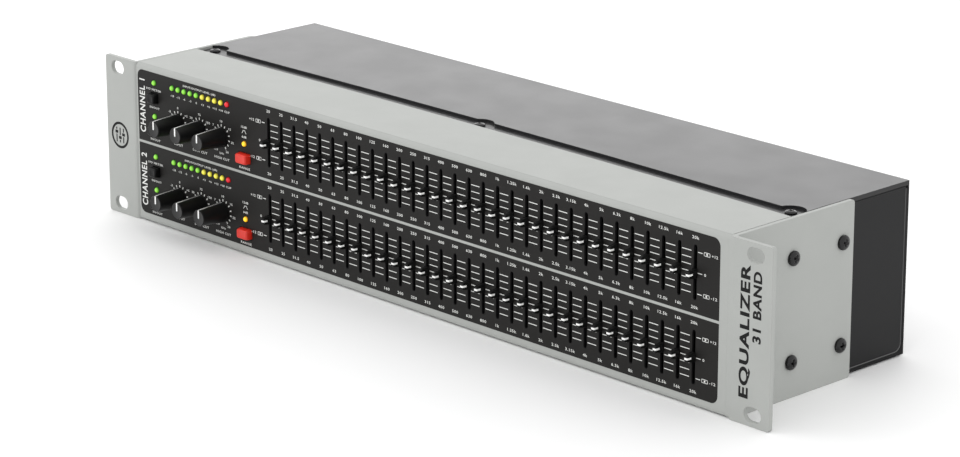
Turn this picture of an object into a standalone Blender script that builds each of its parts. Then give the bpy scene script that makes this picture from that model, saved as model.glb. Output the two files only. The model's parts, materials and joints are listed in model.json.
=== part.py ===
"""Two-channel, 31-band graphic equalizer in a 19-inch, two-unit rack case.

Lengths are in millimetres and become metres when a mesh is made.  The model frame has X to the
right, Y (depth) backwards from the face of the front panel and Z up from the lower edge of the rack
brackets.  Every mesh is then moved by FRAME_SHIFT_Y, so that the origin is at the middle of the
bottom of the whole object.
"""
import math

import bmesh
import bpy
from mathutils import Vector

MM = 0.001

# ---------------------------------------------------------------------------------------------
# Driving dimensions
# ---------------------------------------------------------------------------------------------
GAP = 0.3                       # clearance between neighbouring parts
SINK = 0.5                      # how far a joined solid reaches into its neighbour
PAST = 1.0                      # how far a cutter starts before the face it cuts
THROUGH = 5.0                   # a cutter's reach to each side of a sheet

RACK_WIDTH = 482.6              # 19-inch front
RACK_HEIGHT = 88.1              # two rack units less clearance
RACK_HOLE_SPACING = 76.2        # vertical, between the slots of one ear
EAR_SLOT_X = 231.0              # slot centre from the middle
EAR_SLOT_SIZE = (10.4, 7.2)     # obround, width by height

BRACKET_THICKNESS = 2.5
BRACKET_OUTER_X = 217.4
BRACKET_DEPTH = 84.0
BRACKET_BEND = 3.0              # outer radius
SIDE_SCREW_Y = (41.0, 76.0)
SIDE_SCREW_Z = (18.0, 68.8)
BRACKET_HOLE_RADIUS = 2.1
EAR_CORNER = 1.5                # rounding of the free corners

SHEET = 1.2                     # front panel and tray
COVER_SHEET = 1.0
BODY_HALF_WIDTH = BRACKET_OUTER_X - BRACKET_THICKNESS - GAP
BODY_BOTTOM = 0.5
BODY_REAR = 127.0
PANEL_BEND = 2.2
TRAY_BEND = 2.0
TRAY_FRONT = 2.0
FLANGE_DEPTH = 42.0             # top flange of the front panel, at its ends
FLANGE_BOW = 3.0                # how much further back the flange reaches at the middle
FLANGE_STEPS = 20               # straight runs of the bowed edge
LOWER_FLANGE_DEPTH = 20.0

COVER_LEDGE_DROP = 1.5          # ledge below the cover's top face
COVER_LEDGE_FRONT = 22.0
COVER_STEP_Y = 51.0             # step up from the ledge, at its ends
COVER_SKIRT = 2.3               # side lips
COVER_REAR_SKIRT = 8.0
POCKET_X = (-208.0, 0.0, 208.0)
POCKET_Y = 49.5
POCKET_RADIUS = 7.5
POCKET_STEPS = 12               # straight runs of a pocket's round wall
POCKET_MARGIN = 3.0             # thick metal of the ledge behind a pocket
SCREW_HOLE_RADIUS = 1.7

CHANNEL_Z = (65.7, 24.65)       # middle of the fader travel on channels 1 and 2
BAND_COUNT = 31
BAND_PITCH = 10.0
FIRST_BAND_X = -105.7
FADER_TRAVEL = 10.0             # each way
SLOT_SIZE = (2.2, 26.8)

STATUS_X = -199.6
RANGE_X = -125.5
KNOB_X = (-180.0, -162.0, -144.0)
KNOB_NAMES = ("input", "low_cut", "high_cut")
METER_FIRST_X = -184.4
METER_PITCH = 5.04
METER_COUNT = 10
METER_LINE = 13.85              # heights above the channel's middle
UPPER_BUTTON_LINE = 5.5
DIAL_LINE = -4.7
LOWER_BUTTON_LINE = -12.4

KNOB_REACH = 17.0               # in front of the panel
KNOB_FRONT_RADIUS = 4.4
KNOB_BASE_RADIUS = 5.5
KNOB_EDGE = 0.5                 # rounding of the front edge
SHAFT_RADIUS = 3.0
BUTTON_REACH = 3.4
BLACK_BUTTON_SIZE = (6.0, 5.4)
RED_BUTTON_SIZE = (9.2, 5.4)
STEM_SIZE = 3.4
BUTTON_EDGE = 0.5               # rounding of the front edges
LAMP_RADIUS = 1.6
LAMP_REACH = 1.3

CAP_SIZE = (2.8, 4.8)           # fader cap, width by height
CAP_REACH = 5.4
CAP_NOSE = 1.2                  # length of the cap's sloping nose
CAP_SLOPE = (0.5, 1.3)          # how much lower the cap is at both ends of its nose
CONTROL_CLEARANCE = 0.6         # between the panel and what moves in front of it
LEVER_SIZE = (0.8, 3.0)
LEVER_COVER = 2.0               # thickness of the cap in front of the lever

REAR_PLATE_HALF_WIDTH = 206.0
REAR_PLATE_Z = (20.0, 68.0)
REAR_WINDOW_HALF_WIDTH = 199.5  # opening of the tray's rear wall behind the plate
REAR_WINDOW_Z = (27.0, 61.0)
REAR_SCREW_X = (-203.0, 0.0, 203.0)
REAR_SCREW_Z = (23.5, 64.5)

CONNECTOR_Z = 44.0
JACK_REACH = 4.0                # jack bushing, behind the rear wall
XLR_X = ((106.0, 76.0), (-26.0, -56.0))      # socket and plug of channels 1 and 2
JACK_X = ((52.0, 34.0), (-80.0, -98.0))
INLET_X = 182.0
ROCKER_X = 146.0
ROCKER_TILT = 10.0              # degrees, towards "off"

FRAME_SHIFT_Y = (KNOB_REACH - BODY_REAR - JACK_REACH) / 2

# ---------------------------------------------------------------------------------------------
# Derived places
# ---------------------------------------------------------------------------------------------
BODY_TOP = RACK_HEIGHT
TRAY_TOP = BODY_TOP - COVER_SKIRT - GAP
REAR_WALL_TOP = BODY_TOP - COVER_REAR_SKIRT - GAP
LEDGE_TOP = BODY_TOP - COVER_LEDGE_DROP
BAND_X = [FIRST_BAND_X + BAND_PITCH * band for band in range(BAND_COUNT)]
METER_X = [METER_FIRST_X + METER_PITCH * lamp for lamp in range(METER_COUNT)]
FAR = 300.0                     # past every face, for cutters

# Painted, moulded and plated finishes: colour, roughness, metallic
FINISHES = {
    "silver_paint": ((0.50, 0.51, 0.49), 0.45, 0.35),
    "black_paint": ((0.020, 0.020, 0.022), 0.35, 0.20),
    "black_plastic": ((0.012, 0.012, 0.013), 0.40, 0.0),
    "red_plastic": ((0.62, 0.030, 0.015), 0.35, 0.0),
    "circuit_board": ((0.015, 0.11, 0.045), 0.50, 0.0),
    "lamp_plastic": ((0.30, 0.62, 0.08), 0.20, 0.0),
    "connector_metal": ((0.60, 0.60, 0.60), 0.30, 0.9),
    "transformer_steel": ((0.22, 0.20, 0.18), 0.45, 0.7),
}


# ---------------------------------------------------------------------------------------------
# Scene helpers
# ---------------------------------------------------------------------------------------------
def clear_scene():
    for scene_object in list(bpy.data.objects):
        bpy.data.objects.remove(scene_object, do_unlink=True)


def make_material(name):
    colour, roughness, metallic = FINISHES[name]
    material = bpy.data.materials.get(name) or bpy.data.materials.new(name)
    material.use_nodes = True
    shader = material.node_tree.nodes["Principled BSDF"]
    shader.inputs["Base Color"].default_value = (*colour, 1.0)
    shader.inputs["Roughness"].default_value = roughness
    shader.inputs["Metallic"].default_value = metallic
    return material


def make_object(name, shape, finish=None, pivot=(0.0, 0.0, 0.0), sharp_degrees=None):
    """Turn a bmesh in millimetres into an object whose origin is at the pivot."""
    pivot = Vector(pivot)
    bmesh.ops.recalc_face_normals(shape, faces=shape.faces)
    for vertex in shape.verts:
        vertex.co = (vertex.co - pivot) * MM
    mesh = bpy.data.meshes.new(name)
    shape.to_mesh(mesh)
    shape.free()
    if sharp_degrees is not None:
        mesh.shade_smooth()
        mesh.set_sharp_from_angle(angle=math.radians(sharp_degrees))
    made = bpy.data.objects.new(name, mesh)
    made.location = (pivot + Vector((0.0, FRAME_SHIFT_Y, 0.0))) * MM
    bpy.context.scene.collection.objects.link(made)
    if finish is not None:
        mesh.materials.append(make_material(finish))
    return made


def apply_tool(target, tool_shape, operation):
    """Cut or join a helper shape with a Boolean; the helper stays hidden in the scene."""
    tool = make_object(f"{target.name}_{operation.lower()}_tool", tool_shape)
    tool.hide_render = True
    tool.display_type = "WIRE"
    boolean = target.modifiers.new(operation.title(), "BOOLEAN")
    boolean.operation = operation
    boolean.solver = "EXACT"
    boolean.object = tool


def cut(target, tool_shape):
    apply_tool(target, tool_shape, "DIFFERENCE")


def join(target, tool_shape):
    apply_tool(target, tool_shape, "UNION")


def keep_inside(target, tool_shape):
    apply_tool(target, tool_shape, "INTERSECT")


# ---------------------------------------------------------------------------------------------
# Shape helpers
# ---------------------------------------------------------------------------------------------
def add_prism(shape, outline, axis, start, end):
    """Extrude a flat outline along axis; its points are the two other coordinates, in XYZ order."""
    place = {
        "X": lambda point, along: (along, point[0], point[1]),
        "Y": lambda point, along: (point[0], along, point[1]),
        "Z": lambda point, along: (point[0], point[1], along),
    }[axis]
    near = [shape.verts.new(place(point, start)) for point in outline]
    far = [shape.verts.new(place(point, end)) for point in outline]
    shape.faces.new(near)
    shape.faces.new(list(reversed(far)))
    count = len(outline)
    for index in range(count):
        following = (index + 1) % count
        shape.faces.new((near[index], far[index], far[following], near[following]))


def add_box(shape, x_range, y_range, z_range):
    x0, x1 = x_range
    y0, y1 = y_range
    add_prism(shape, [(x0, y0), (x1, y0), (x1, y1), (x0, y1)], "Z", *z_range)


def around(centre, size):
    """The range of a given size about a centre."""
    return (centre - size / 2, centre + size / 2)


def circle(x, z, radius, segments):
    turn = 2 * math.pi / segments
    return [
        (x + radius * math.cos(turn * (step + 0.5)), z + radius * math.sin(turn * (step + 0.5)))
        for step in range(segments)
    ]


def rounded_rectangle(low, high, radii, segments=3):
    """Outline with its own radius at each corner, counterclockwise from the lowest corner."""
    (x0, z0), (x1, z1) = low, high
    corners = ((x0, z0, 1, 1), (x1, z0, -1, 1), (x1, z1, -1, -1), (x0, z1, 1, -1))
    points = []
    for turn, ((x, z, inwards_x, inwards_z), radius) in enumerate(zip(corners, radii)):
        if not radius:
            points.append((x, z))
            continue
        for step in range(segments + 1):
            angle = math.pi * (1 + turn / 2 + step / segments / 2)
            points.append((
                x + inwards_x * radius + radius * math.cos(angle),
                z + inwards_z * radius + radius * math.sin(angle),
            ))
    return points


def obround(x, z, width, height, segments):
    """A slot outline with half-round ends along its longer side."""
    radius = min(width, height) / 2
    shift_x = width / 2 - radius
    shift_z = height / 2 - radius
    start = math.pi / 2 if shift_x else math.pi
    points = []
    for end in (1, -1):
        for step in range(segments + 1):
            angle = start + math.pi * step / segments + (0 if end == -1 else math.pi)
            points.append((
                x + end * shift_x + radius * math.cos(angle),
                z + end * shift_z + radius * math.sin(angle),
            ))
    return points


def add_turned(shape, profile, centre, segments):
    """Turn a profile of (depth, radius) points about the Y axis through centre (x, z)."""
    rings = []
    for depth, radius in profile:
        ring = [shape.verts.new((x, depth, z)) for x, z in circle(*centre, radius, segments)]
        rings.append(ring)
    shape.faces.new(rings[0])
    shape.faces.new(list(reversed(rings[-1])))
    for first, second in zip(rings, rings[1:]):
        for index in range(segments):
            following = (index + 1) % segments
            shape.faces.new((first[index], second[index], second[following], first[following]))


def bent_sheet(corners, thickness, radius, segments):
    """Outline of a folded sheet whose outer side runs through corners, with right-angle bends.

    The sheet's thickness lies on the left of the path.
    """
    corners = [Vector(corner) for corner in corners]
    directions = [(end - start).normalized() for start, end in zip(corners, corners[1:])]
    lefts = [Vector((-direction.y, direction.x)) for direction in directions]
    outer = [corners[0]]
    inner = [corners[0] + lefts[0] * thickness]
    for index in range(1, len(corners) - 1):
        before = lefts[index - 1]
        after = lefts[index]
        middle = corners[index] + (before + after) * radius
        for step in range(segments + 1):
            angle = math.pi / 2 * step / segments
            outwards = -before * math.cos(angle) - after * math.sin(angle)
            outer.append(middle + outwards * radius)
            inner.append(middle + outwards * (radius - thickness))
    outer.append(corners[-1])
    inner.append(corners[-1] + lefts[-1] * thickness)
    return outer + list(reversed(inner))


def bevel_edges(shape, chosen, width, segments=1):
    edges = [edge for edge in shape.edges if chosen(edge)]
    bmesh.ops.bevel(
        shape, geom=edges, offset=width, segments=segments, profile=0.5, affect="EDGES",
        clamp_overlap=True,
    )


def bowed(x, at_ends, bow):
    """Depth of an edge that bows backwards by bow at the middle of the body."""
    return at_ends + bow * (1 - (x / BODY_HALF_WIDTH) ** 2)


# ---------------------------------------------------------------------------------------------
# Case
# ---------------------------------------------------------------------------------------------
def channel_openings(shape, middle, start, end):
    """The holes of one channel's controls, as prisms from start to end in depth."""
    for x in BAND_X:
        add_prism(shape, obround(x, middle, *SLOT_SIZE, 3), "Y", start, end)
    for x in KNOB_X:
        add_prism(shape, circle(x, middle + DIAL_LINE, SHAFT_RADIUS + 0.5, 12), "Y", start, end)
    lamps = [(x, METER_LINE) for x in METER_X]
    lamps += [(STATUS_X, METER_LINE), (STATUS_X, DIAL_LINE), (RANGE_X, DIAL_LINE)]
    for x, line in lamps:
        add_prism(shape, circle(x, middle + line, LAMP_RADIUS + GAP, 8), "Y", start, end)
    for x, line, size in button_places():
        add_box(
            shape,
            around(x, size[0] + 2 * GAP),
            (start, end),
            around(middle + line, size[1] + 2 * GAP),
        )


def button_places():
    return (
        (STATUS_X, UPPER_BUTTON_LINE, BLACK_BUTTON_SIZE),
        (STATUS_X, LOWER_BUTTON_LINE, BLACK_BUTTON_SIZE),
        (RANGE_X, LOWER_BUTTON_LINE, RED_BUTTON_SIZE),
    )


def make_front_panel():
    """Folded face with a long top flange and a short lower flange."""
    longest = FLANGE_DEPTH + FLANGE_BOW
    outline = bent_sheet(
        [
            (longest + PAST, BODY_TOP), (0.0, BODY_TOP), (0.0, BODY_BOTTOM),
            (LOWER_FLANGE_DEPTH, BODY_BOTTOM),
        ],
        SHEET, PANEL_BEND, 4,
    )
    shape = bmesh.new()
    add_prism(shape, outline, "X", -BODY_HALF_WIDTH, BODY_HALF_WIDTH)
    panel = make_object("front_panel", shape, "silver_paint")

    trim = bmesh.new()
    edge = []
    for step in range(FLANGE_STEPS + 1):
        x = (BODY_HALF_WIDTH + PAST) * (2 * step / FLANGE_STEPS - 1)
        edge.append((x, bowed(x, FLANGE_DEPTH, FLANGE_BOW)))
    add_prism(trim, edge + [(FAR, FAR), (-FAR, FAR)], "Z", BODY_TOP - THROUGH, BODY_TOP + THROUGH)
    cut(panel, trim)

    openings = bmesh.new()
    for middle in CHANNEL_Z:
        channel_openings(openings, middle, -THROUGH, THROUGH)
    cut(panel, openings)


def make_tray():
    """Bottom, sides and rear wall in one folded sheet, open at the top and the front."""
    half = BODY_HALF_WIDTH
    shape = bmesh.new()
    outline = rounded_rectangle((-half, BODY_BOTTOM), (half, TRAY_TOP), (TRAY_BEND, TRAY_BEND, 0, 0))
    add_prism(shape, outline, "Y", TRAY_FRONT, BODY_REAR)
    tray = make_object("chassis_tray", shape, "black_paint")
    seen_from_above = bmesh.new()
    outline = rounded_rectangle((-half, -THROUGH), (half, BODY_REAR), (0, 0, TRAY_BEND, TRAY_BEND))
    add_prism(seen_from_above, outline, "Z", -THROUGH, FAR)
    keep_inside(tray, seen_from_above)
    seen_from_side = bmesh.new()
    outline = rounded_rectangle((-THROUGH, BODY_BOTTOM), (BODY_REAR, FAR), (0, TRAY_BEND, 0, 0))
    add_prism(seen_from_side, outline, "X", -FAR, FAR)
    keep_inside(tray, seen_from_side)

    # The front edge rises over the panel's lower flange and ends in a raised lip.
    inner_x = (-BODY_HALF_WIDTH + SHEET, BODY_HALF_WIDTH - SHEET)
    lip_bottom = BODY_BOTTOM + SHEET + GAP
    riser = LOWER_FLANGE_DEPTH + GAP
    inner = bmesh.new()
    add_box(inner, inner_x, (riser + SHEET, BODY_REAR - SHEET), (BODY_BOTTOM + SHEET, FAR))
    cut(tray, inner)
    above_lip = bmesh.new()
    add_box(above_lip, inner_x, (-FAR, riser + SHEET + PAST), (lip_bottom + SHEET, FAR))
    cut(tray, above_lip)
    below_lip = bmesh.new()
    add_box(below_lip, (-FAR, FAR), (-FAR, riser), (-FAR, lip_bottom))
    cut(tray, below_lip)
    skirt_notch = bmesh.new()
    add_box(skirt_notch, (-FAR, FAR), (BODY_REAR - SHEET - PAST, FAR), (REAR_WALL_TOP, FAR))
    cut(tray, skirt_notch)

    holes = bmesh.new()
    for y in SIDE_SCREW_Y:
        for z in SIDE_SCREW_Z:
            add_prism(holes, circle(y, z, SCREW_HOLE_RADIUS, 8), "X", -FAR, FAR)
    for x in REAR_SCREW_X:
        for z in REAR_SCREW_Z:
            add_prism(holes, circle(x, z, SCREW_HOLE_RADIUS, 8), "Y", BODY_REAR - THROUGH, FAR)
    cut(tray, holes)
    window = bmesh.new()
    add_box(window, (-REAR_WINDOW_HALF_WIDTH, REAR_WINDOW_HALF_WIDTH), (BODY_REAR - THROUGH, FAR),
            REAR_WINDOW_Z)
    cut(tray, window)


def make_cover():
    """Flat cover with side lips, a rear skirt and a lowered front ledge with three screw pockets."""
    roof_bottom = BODY_TOP - COVER_SHEET
    inner_x = BODY_HALF_WIDTH - COVER_SHEET
    shape = bmesh.new()
    add_box(
        shape, (-BODY_HALF_WIDTH, BODY_HALF_WIDTH), (COVER_LEDGE_FRONT, BODY_REAR),
        (BODY_TOP - COVER_REAR_SKIRT, BODY_TOP),
    )
    cover = make_object("top_cover", shape, "black_paint")

    under = bmesh.new()
    thick_until = POCKET_Y + POCKET_RADIUS + POCKET_MARGIN
    skirt_bottom = BODY_TOP - COVER_SKIRT
    add_box(under, (-FAR, FAR), (-FAR, BODY_REAR - COVER_SHEET), (-FAR, skirt_bottom))
    cut(cover, under)
    hollow = bmesh.new()
    add_box(hollow, (-inner_x, inner_x), (thick_until, BODY_REAR - COVER_SHEET), (-FAR, roof_bottom))
    cut(cover, hollow)

    step = bmesh.new()
    add_prism(step, [(-FAR, -FAR), *step_edge(), (FAR, -FAR)], "Z", LEDGE_TOP, FAR)
    cut(cover, step)
    screws = bmesh.new()
    for x in POCKET_X:
        add_prism(screws, circle(x, POCKET_Y, SCREW_HOLE_RADIUS, 8), "Z", 0.0, FAR)
    cut(cover, screws)


def step_edge():
    """Plan view of the cover's step: a shallow bow, with a round bite behind each screw."""
    samples = {-FAR, FAR}
    for step in range(FLANGE_STEPS + 1):
        samples.add(round(BODY_HALF_WIDTH * (2 * step / FLANGE_STEPS - 1), 6))
    for centre in POCKET_X:
        for step in range(POCKET_STEPS + 1):
            turn = math.pi * step / POCKET_STEPS
            samples.add(round(centre - POCKET_RADIUS * math.cos(turn), 6))
    points = []
    for x in sorted(samples):
        depth = bowed(min(abs(x), BODY_HALF_WIDTH), COVER_STEP_Y, FLANGE_BOW)
        for centre in POCKET_X:
            reach = POCKET_RADIUS ** 2 - (x - centre) ** 2
            if reach > 0:
                depth = max(depth, POCKET_Y + math.sqrt(reach))
        points.append((x, depth))
    return points


def make_bracket(name, side):
    """L-shaped rack bracket: a slotted ear in front and a plate along the tray's side."""
    outline = bent_sheet(
        [
            (BRACKET_OUTER_X - BRACKET_THICKNESS, BRACKET_DEPTH),
            (BRACKET_OUTER_X - BRACKET_THICKNESS, 0.0),
            (RACK_WIDTH / 2, 0.0),
        ],
        BRACKET_THICKNESS, BRACKET_BEND, 4,
    )
    shape = bmesh.new()
    add_prism(shape, [(side * x, y) for x, y in outline], "Z", 0.0, RACK_HEIGHT)

    def corner(edge):
        first, second = (vertex.co for vertex in edge.verts)
        along = (second - first).normalized()
        outer_corner = abs(along.y) > 0.9 and abs(first.x) > RACK_WIDTH / 2 - GAP
        rear_corner = abs(along.x) > 0.9 and first.y > BRACKET_DEPTH - GAP
        return outer_corner or rear_corner
    bevel_edges(shape, corner, EAR_CORNER, 3)
    bracket = make_object(name, shape, "silver_paint")

    holes = bmesh.new()
    for z in around(RACK_HEIGHT / 2, RACK_HOLE_SPACING):
        add_prism(holes, obround(side * EAR_SLOT_X, z, *EAR_SLOT_SIZE, 8), "Y", -THROUGH, THROUGH)
    for y in SIDE_SCREW_Y:
        for z in SIDE_SCREW_Z:
            add_prism(holes, circle(y, z, BRACKET_HOLE_RADIUS, 8), "X",
                      side * (BRACKET_OUTER_X - THROUGH), side * (BRACKET_OUTER_X + THROUGH))
    cut(bracket, holes)


# ---------------------------------------------------------------------------------------------
# Faders
# ---------------------------------------------------------------------------------------------
POT_FRONT = 4.6
POT_REAR = 11.6
POT_SIZE = (6.6, 34.0)
BOARD = 1.6
LEVER_REAR = 9.4
LINK_DEPTH = (2.2, 3.8)
POT_BOARD_MARGIN = (7.0, 1.0)   # beside the outer bands, above and below the potentiometers
GROOVE_CLEARANCE = (0.8, 1.0)   # width and height, more than the lever needs


def make_fader_pair(number, x):
    """The two faders of one band on a common slide: a cap and a lever for each channel."""
    lever_x = around(x, LEVER_SIZE[0])
    upper, lower = CHANNEL_Z
    half = LEVER_SIZE[1] / 2
    front = -CAP_REACH + LEVER_COVER
    near, far = LINK_DEPTH
    outline = [
        (front, lower - half), (LEVER_REAR, lower - half), (LEVER_REAR, lower + half),
        (far, lower + half), (far, upper - half), (LEVER_REAR, upper - half),
        (LEVER_REAR, upper + half), (front, upper + half), (front, upper - half),
        (near, upper - half), (near, lower + half), (front, lower + half),
    ]
    shape = bmesh.new()
    add_prism(shape, outline, "X", *lever_x)
    fader = make_object(
        f"fader_pair_{number:02d}", shape, "black_plastic", (x, 0.0, (upper + lower) / 2)
    )
    caps = bmesh.new()
    width, height = CAP_SIZE
    nose = -CAP_REACH + CAP_NOSE
    shoulder, tip = (height / 2 - drop for drop in CAP_SLOPE)
    for middle in CHANNEL_Z:
        profile = [
            (-CONTROL_CLEARANCE, middle - height / 2), (-CONTROL_CLEARANCE, middle + height / 2),
            (nose, middle + shoulder), (-CAP_REACH, middle + tip),
            (-CAP_REACH, middle - tip), (nose, middle - shoulder),
        ]
        add_prism(caps, profile, "X", *around(x, width))
    join(fader, caps)


def make_fader_board():
    """Circuit board with both channels' slide potentiometers, each with a groove for its lever."""
    upper, lower = CHANNEL_Z
    margin_x, margin_z = POT_BOARD_MARGIN
    board_z = (lower - POT_SIZE[1] / 2 - margin_z, upper + POT_SIZE[1] / 2 + margin_z)
    shape = bmesh.new()
    add_box(shape, (BAND_X[0] - margin_x, BAND_X[-1] + margin_x),
            (POT_REAR - SINK / 2, POT_REAR + BOARD), board_z)
    board = make_object("fader_board", shape, "circuit_board")
    pots = bmesh.new()
    grooves = bmesh.new()
    groove = (
        LEVER_SIZE[0] + GROOVE_CLEARANCE[0],
        LEVER_SIZE[1] + 2 * FADER_TRAVEL + GROOVE_CLEARANCE[1],
    )
    for middle in CHANNEL_Z:
        for x in BAND_X:
            add_box(pots, around(x, POT_SIZE[0]), (POT_FRONT, POT_REAR),
                    around(middle, POT_SIZE[1]))
            add_box(grooves, around(x, groove[0]), (POT_FRONT - PAST, LEVER_REAR + 2 * GAP),
                    around(middle, groove[1]))
    join(board, pots)
    cut(board, grooves)


# ---------------------------------------------------------------------------------------------
# Knobs, buttons and lamps
# ---------------------------------------------------------------------------------------------
CONTROL_BOARD_X = (-209.0, -118.0)
CONTROL_BOARD_Y = 24.0
CONTROL_BOARD_MARGIN = 18.0     # beyond the channels' middles
KNOB_POT_SIZE = (11.0, 12.0)
SWITCH_SIZE = 7.0
KNOB_POT_FRONT = 10.0
SHAFT_REAR = 18.0
SWITCH_FRONT = 9.0
STEM_REAR = 14.0
BUTTON_REAR = 5.0
SHAFT_ROOM = 1.0                # free depth behind a knob's shaft
STEM_ROOM = 3.0                 # free depth behind a button's stem, which moves inwards
CARRIER_DEPTH = (2.2, 5.0)
CARRIER_REACH = (7.0, 6.0)      # to the left of the status lamps, to the right of the amber ones
CARRIER_RAIL = 2.2              # width of the upright rails
CARRIER_ARM = (2.0, 1.5)        # past a lower lamp's axis, half height
CARRIER_HALF = 2.0              # half height of the level rail


def make_knob(name, x, z):
    """A long tapered knob with its shaft, turned about the shaft's axis."""
    profile = [
        (-KNOB_REACH, KNOB_FRONT_RADIUS - KNOB_EDGE),
        (-KNOB_REACH + 0.3 * KNOB_EDGE, KNOB_FRONT_RADIUS - 0.3 * KNOB_EDGE),
        (-KNOB_REACH + KNOB_EDGE, KNOB_FRONT_RADIUS),
        (-2 * CONTROL_CLEARANCE, KNOB_BASE_RADIUS),
        (-CONTROL_CLEARANCE, KNOB_BASE_RADIUS),
        (-CONTROL_CLEARANCE, SHAFT_RADIUS),
        (SHAFT_REAR, SHAFT_RADIUS),
    ]
    shape = bmesh.new()
    add_turned(shape, profile, (x, z), 16)
    make_object(name, shape, "black_plastic", (x, 0.0, z), 40)


def make_button(name, x, z, size, finish):
    """A push button with rounded face edges and a square stem."""
    shape = bmesh.new()
    add_box(shape, around(x, size[0]), (-BUTTON_REACH, BUTTON_REAR), around(z, size[1]))

    def in_front(edge):
        return all(vertex.co.y < 0.0 for vertex in edge.verts)
    bevel_edges(shape, in_front, BUTTON_EDGE, 2)
    button = make_object(name, shape, finish, (x, 0.0, z))
    stem = bmesh.new()
    add_box(stem, around(x, STEM_SIZE), (BUTTON_REAR - SINK, STEM_REAR), around(z, STEM_SIZE))
    join(button, stem)


def make_control_board():
    """Circuit board behind the knobs and buttons, with potentiometers and switch bodies."""
    upper, lower = CHANNEL_Z
    stem_bore = STEM_SIZE + 2 * GAP
    shape = bmesh.new()
    add_box(shape, CONTROL_BOARD_X, (CONTROL_BOARD_Y - SINK / 2, CONTROL_BOARD_Y + BOARD),
            (lower - CONTROL_BOARD_MARGIN, upper + CONTROL_BOARD_MARGIN))
    board = make_object("control_board", shape, "circuit_board")
    bodies = bmesh.new()
    bores = bmesh.new()
    for middle in CHANNEL_Z:
        for x in KNOB_X:
            z = middle + DIAL_LINE
            add_box(bodies, around(x, KNOB_POT_SIZE[0]), (KNOB_POT_FRONT, CONTROL_BOARD_Y),
                    around(z, KNOB_POT_SIZE[1]))
            add_prism(bores, circle(x, z, SHAFT_RADIUS + 2 * GAP, 8), "Y", KNOB_POT_FRONT - PAST,
                      SHAFT_REAR + SHAFT_ROOM)
        for x, line, _ in button_places():
            z = middle + line
            add_box(bodies, around(x, SWITCH_SIZE), (SWITCH_FRONT, CONTROL_BOARD_Y),
                    around(z, SWITCH_SIZE))
            add_box(bores, around(x, stem_bore), (SWITCH_FRONT - PAST, STEM_REAR + STEM_ROOM),
                    around(z, stem_bore))
    join(board, bodies)
    cut(board, bores)


def make_lamp_strips():
    """Both channels' lamps on moulded carriers that run behind the panel, joined at the left."""
    near, far = CARRIER_DEPTH
    left = STATUS_X - CARRIER_REACH[0]
    right = RANGE_X + CARRIER_REACH[1]
    inner_left = left + CARRIER_RAIL
    inner_right = right - CARRIER_RAIL
    arm, arm_half = CARRIER_ARM
    strips = None
    for middle in CHANNEL_Z:
        top = middle + METER_LINE + CARRIER_HALF
        under = middle + METER_LINE - CARRIER_HALF
        arm_top = middle + DIAL_LINE + arm_half
        bottom = middle + DIAL_LINE - arm_half
        outline = [
            (left, bottom), (STATUS_X + arm, bottom), (STATUS_X + arm, arm_top),
            (inner_left, arm_top), (inner_left, under), (inner_right, under),
            (inner_right, arm_top), (RANGE_X - arm, arm_top), (RANGE_X - arm, bottom),
            (right, bottom), (right, top), (left, top),
        ]
        shape = bmesh.new()
        add_prism(shape, outline, "Y", near, far)
        if strips is None:
            strips = make_object("lamp_strips", shape, "lamp_plastic")
        else:
            join(strips, shape)
    bridge = bmesh.new()
    add_box(bridge, (left + GAP, inner_left - GAP), (near + GAP, far - GAP),
            (CHANNEL_Z[1] + METER_LINE + SINK, CHANNEL_Z[0] + DIAL_LINE - SINK))
    join(strips, bridge)
    profile = [
        (-LAMP_REACH, LAMP_RADIUS / 2), (-LAMP_REACH + LAMP_RADIUS / 2, LAMP_RADIUS),
        (near + SINK, LAMP_RADIUS),
    ]
    lamps = bmesh.new()
    for middle in CHANNEL_Z:
        upper = middle + METER_LINE
        lower = middle + DIAL_LINE
        places = [(x, upper) for x in (STATUS_X, *METER_X)] + [(STATUS_X, lower), (RANGE_X, lower)]
        for place in places:
            add_turned(lamps, profile, place, 8)
    join(strips, lamps)


# ---------------------------------------------------------------------------------------------
# Inside
# ---------------------------------------------------------------------------------------------
FLOOR = BODY_BOTTOM + SHEET
MAIN_BOARD_X = (-190.0, 118.0)
MAIN_BOARD_Y = (32.0, 98.0)
MAIN_BOARD_LIFT = 6.0
CHIP_SIZE = (10.0, 6.5, 3.5)
CHIP_COUNT = (12, 2)
CHIP_PITCH = (22.0, 24.0)
CHIP_FIRST = (-176.0, 46.0)
CAPACITOR_X = (96.0, 108.0)
CAPACITOR_Y = (50.0, 66.0, 82.0)
CAPACITOR_SIZE = (5.0, 16.0)    # radius, height
POST_X = (-184.0, -36.0, 112.0)
POST_Y = (38.0, 92.0)
POST_RADIUS = 2.5
TRANSFORMER_PLACE = (172.0, 74.0)
CORE_SIZE = (54.0, 22.0, 45.0)
COIL_SIZE = (32.0, 44.0, 29.0)
FOOT_SIZE = (70.0, 20.0, 2.0)


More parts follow.
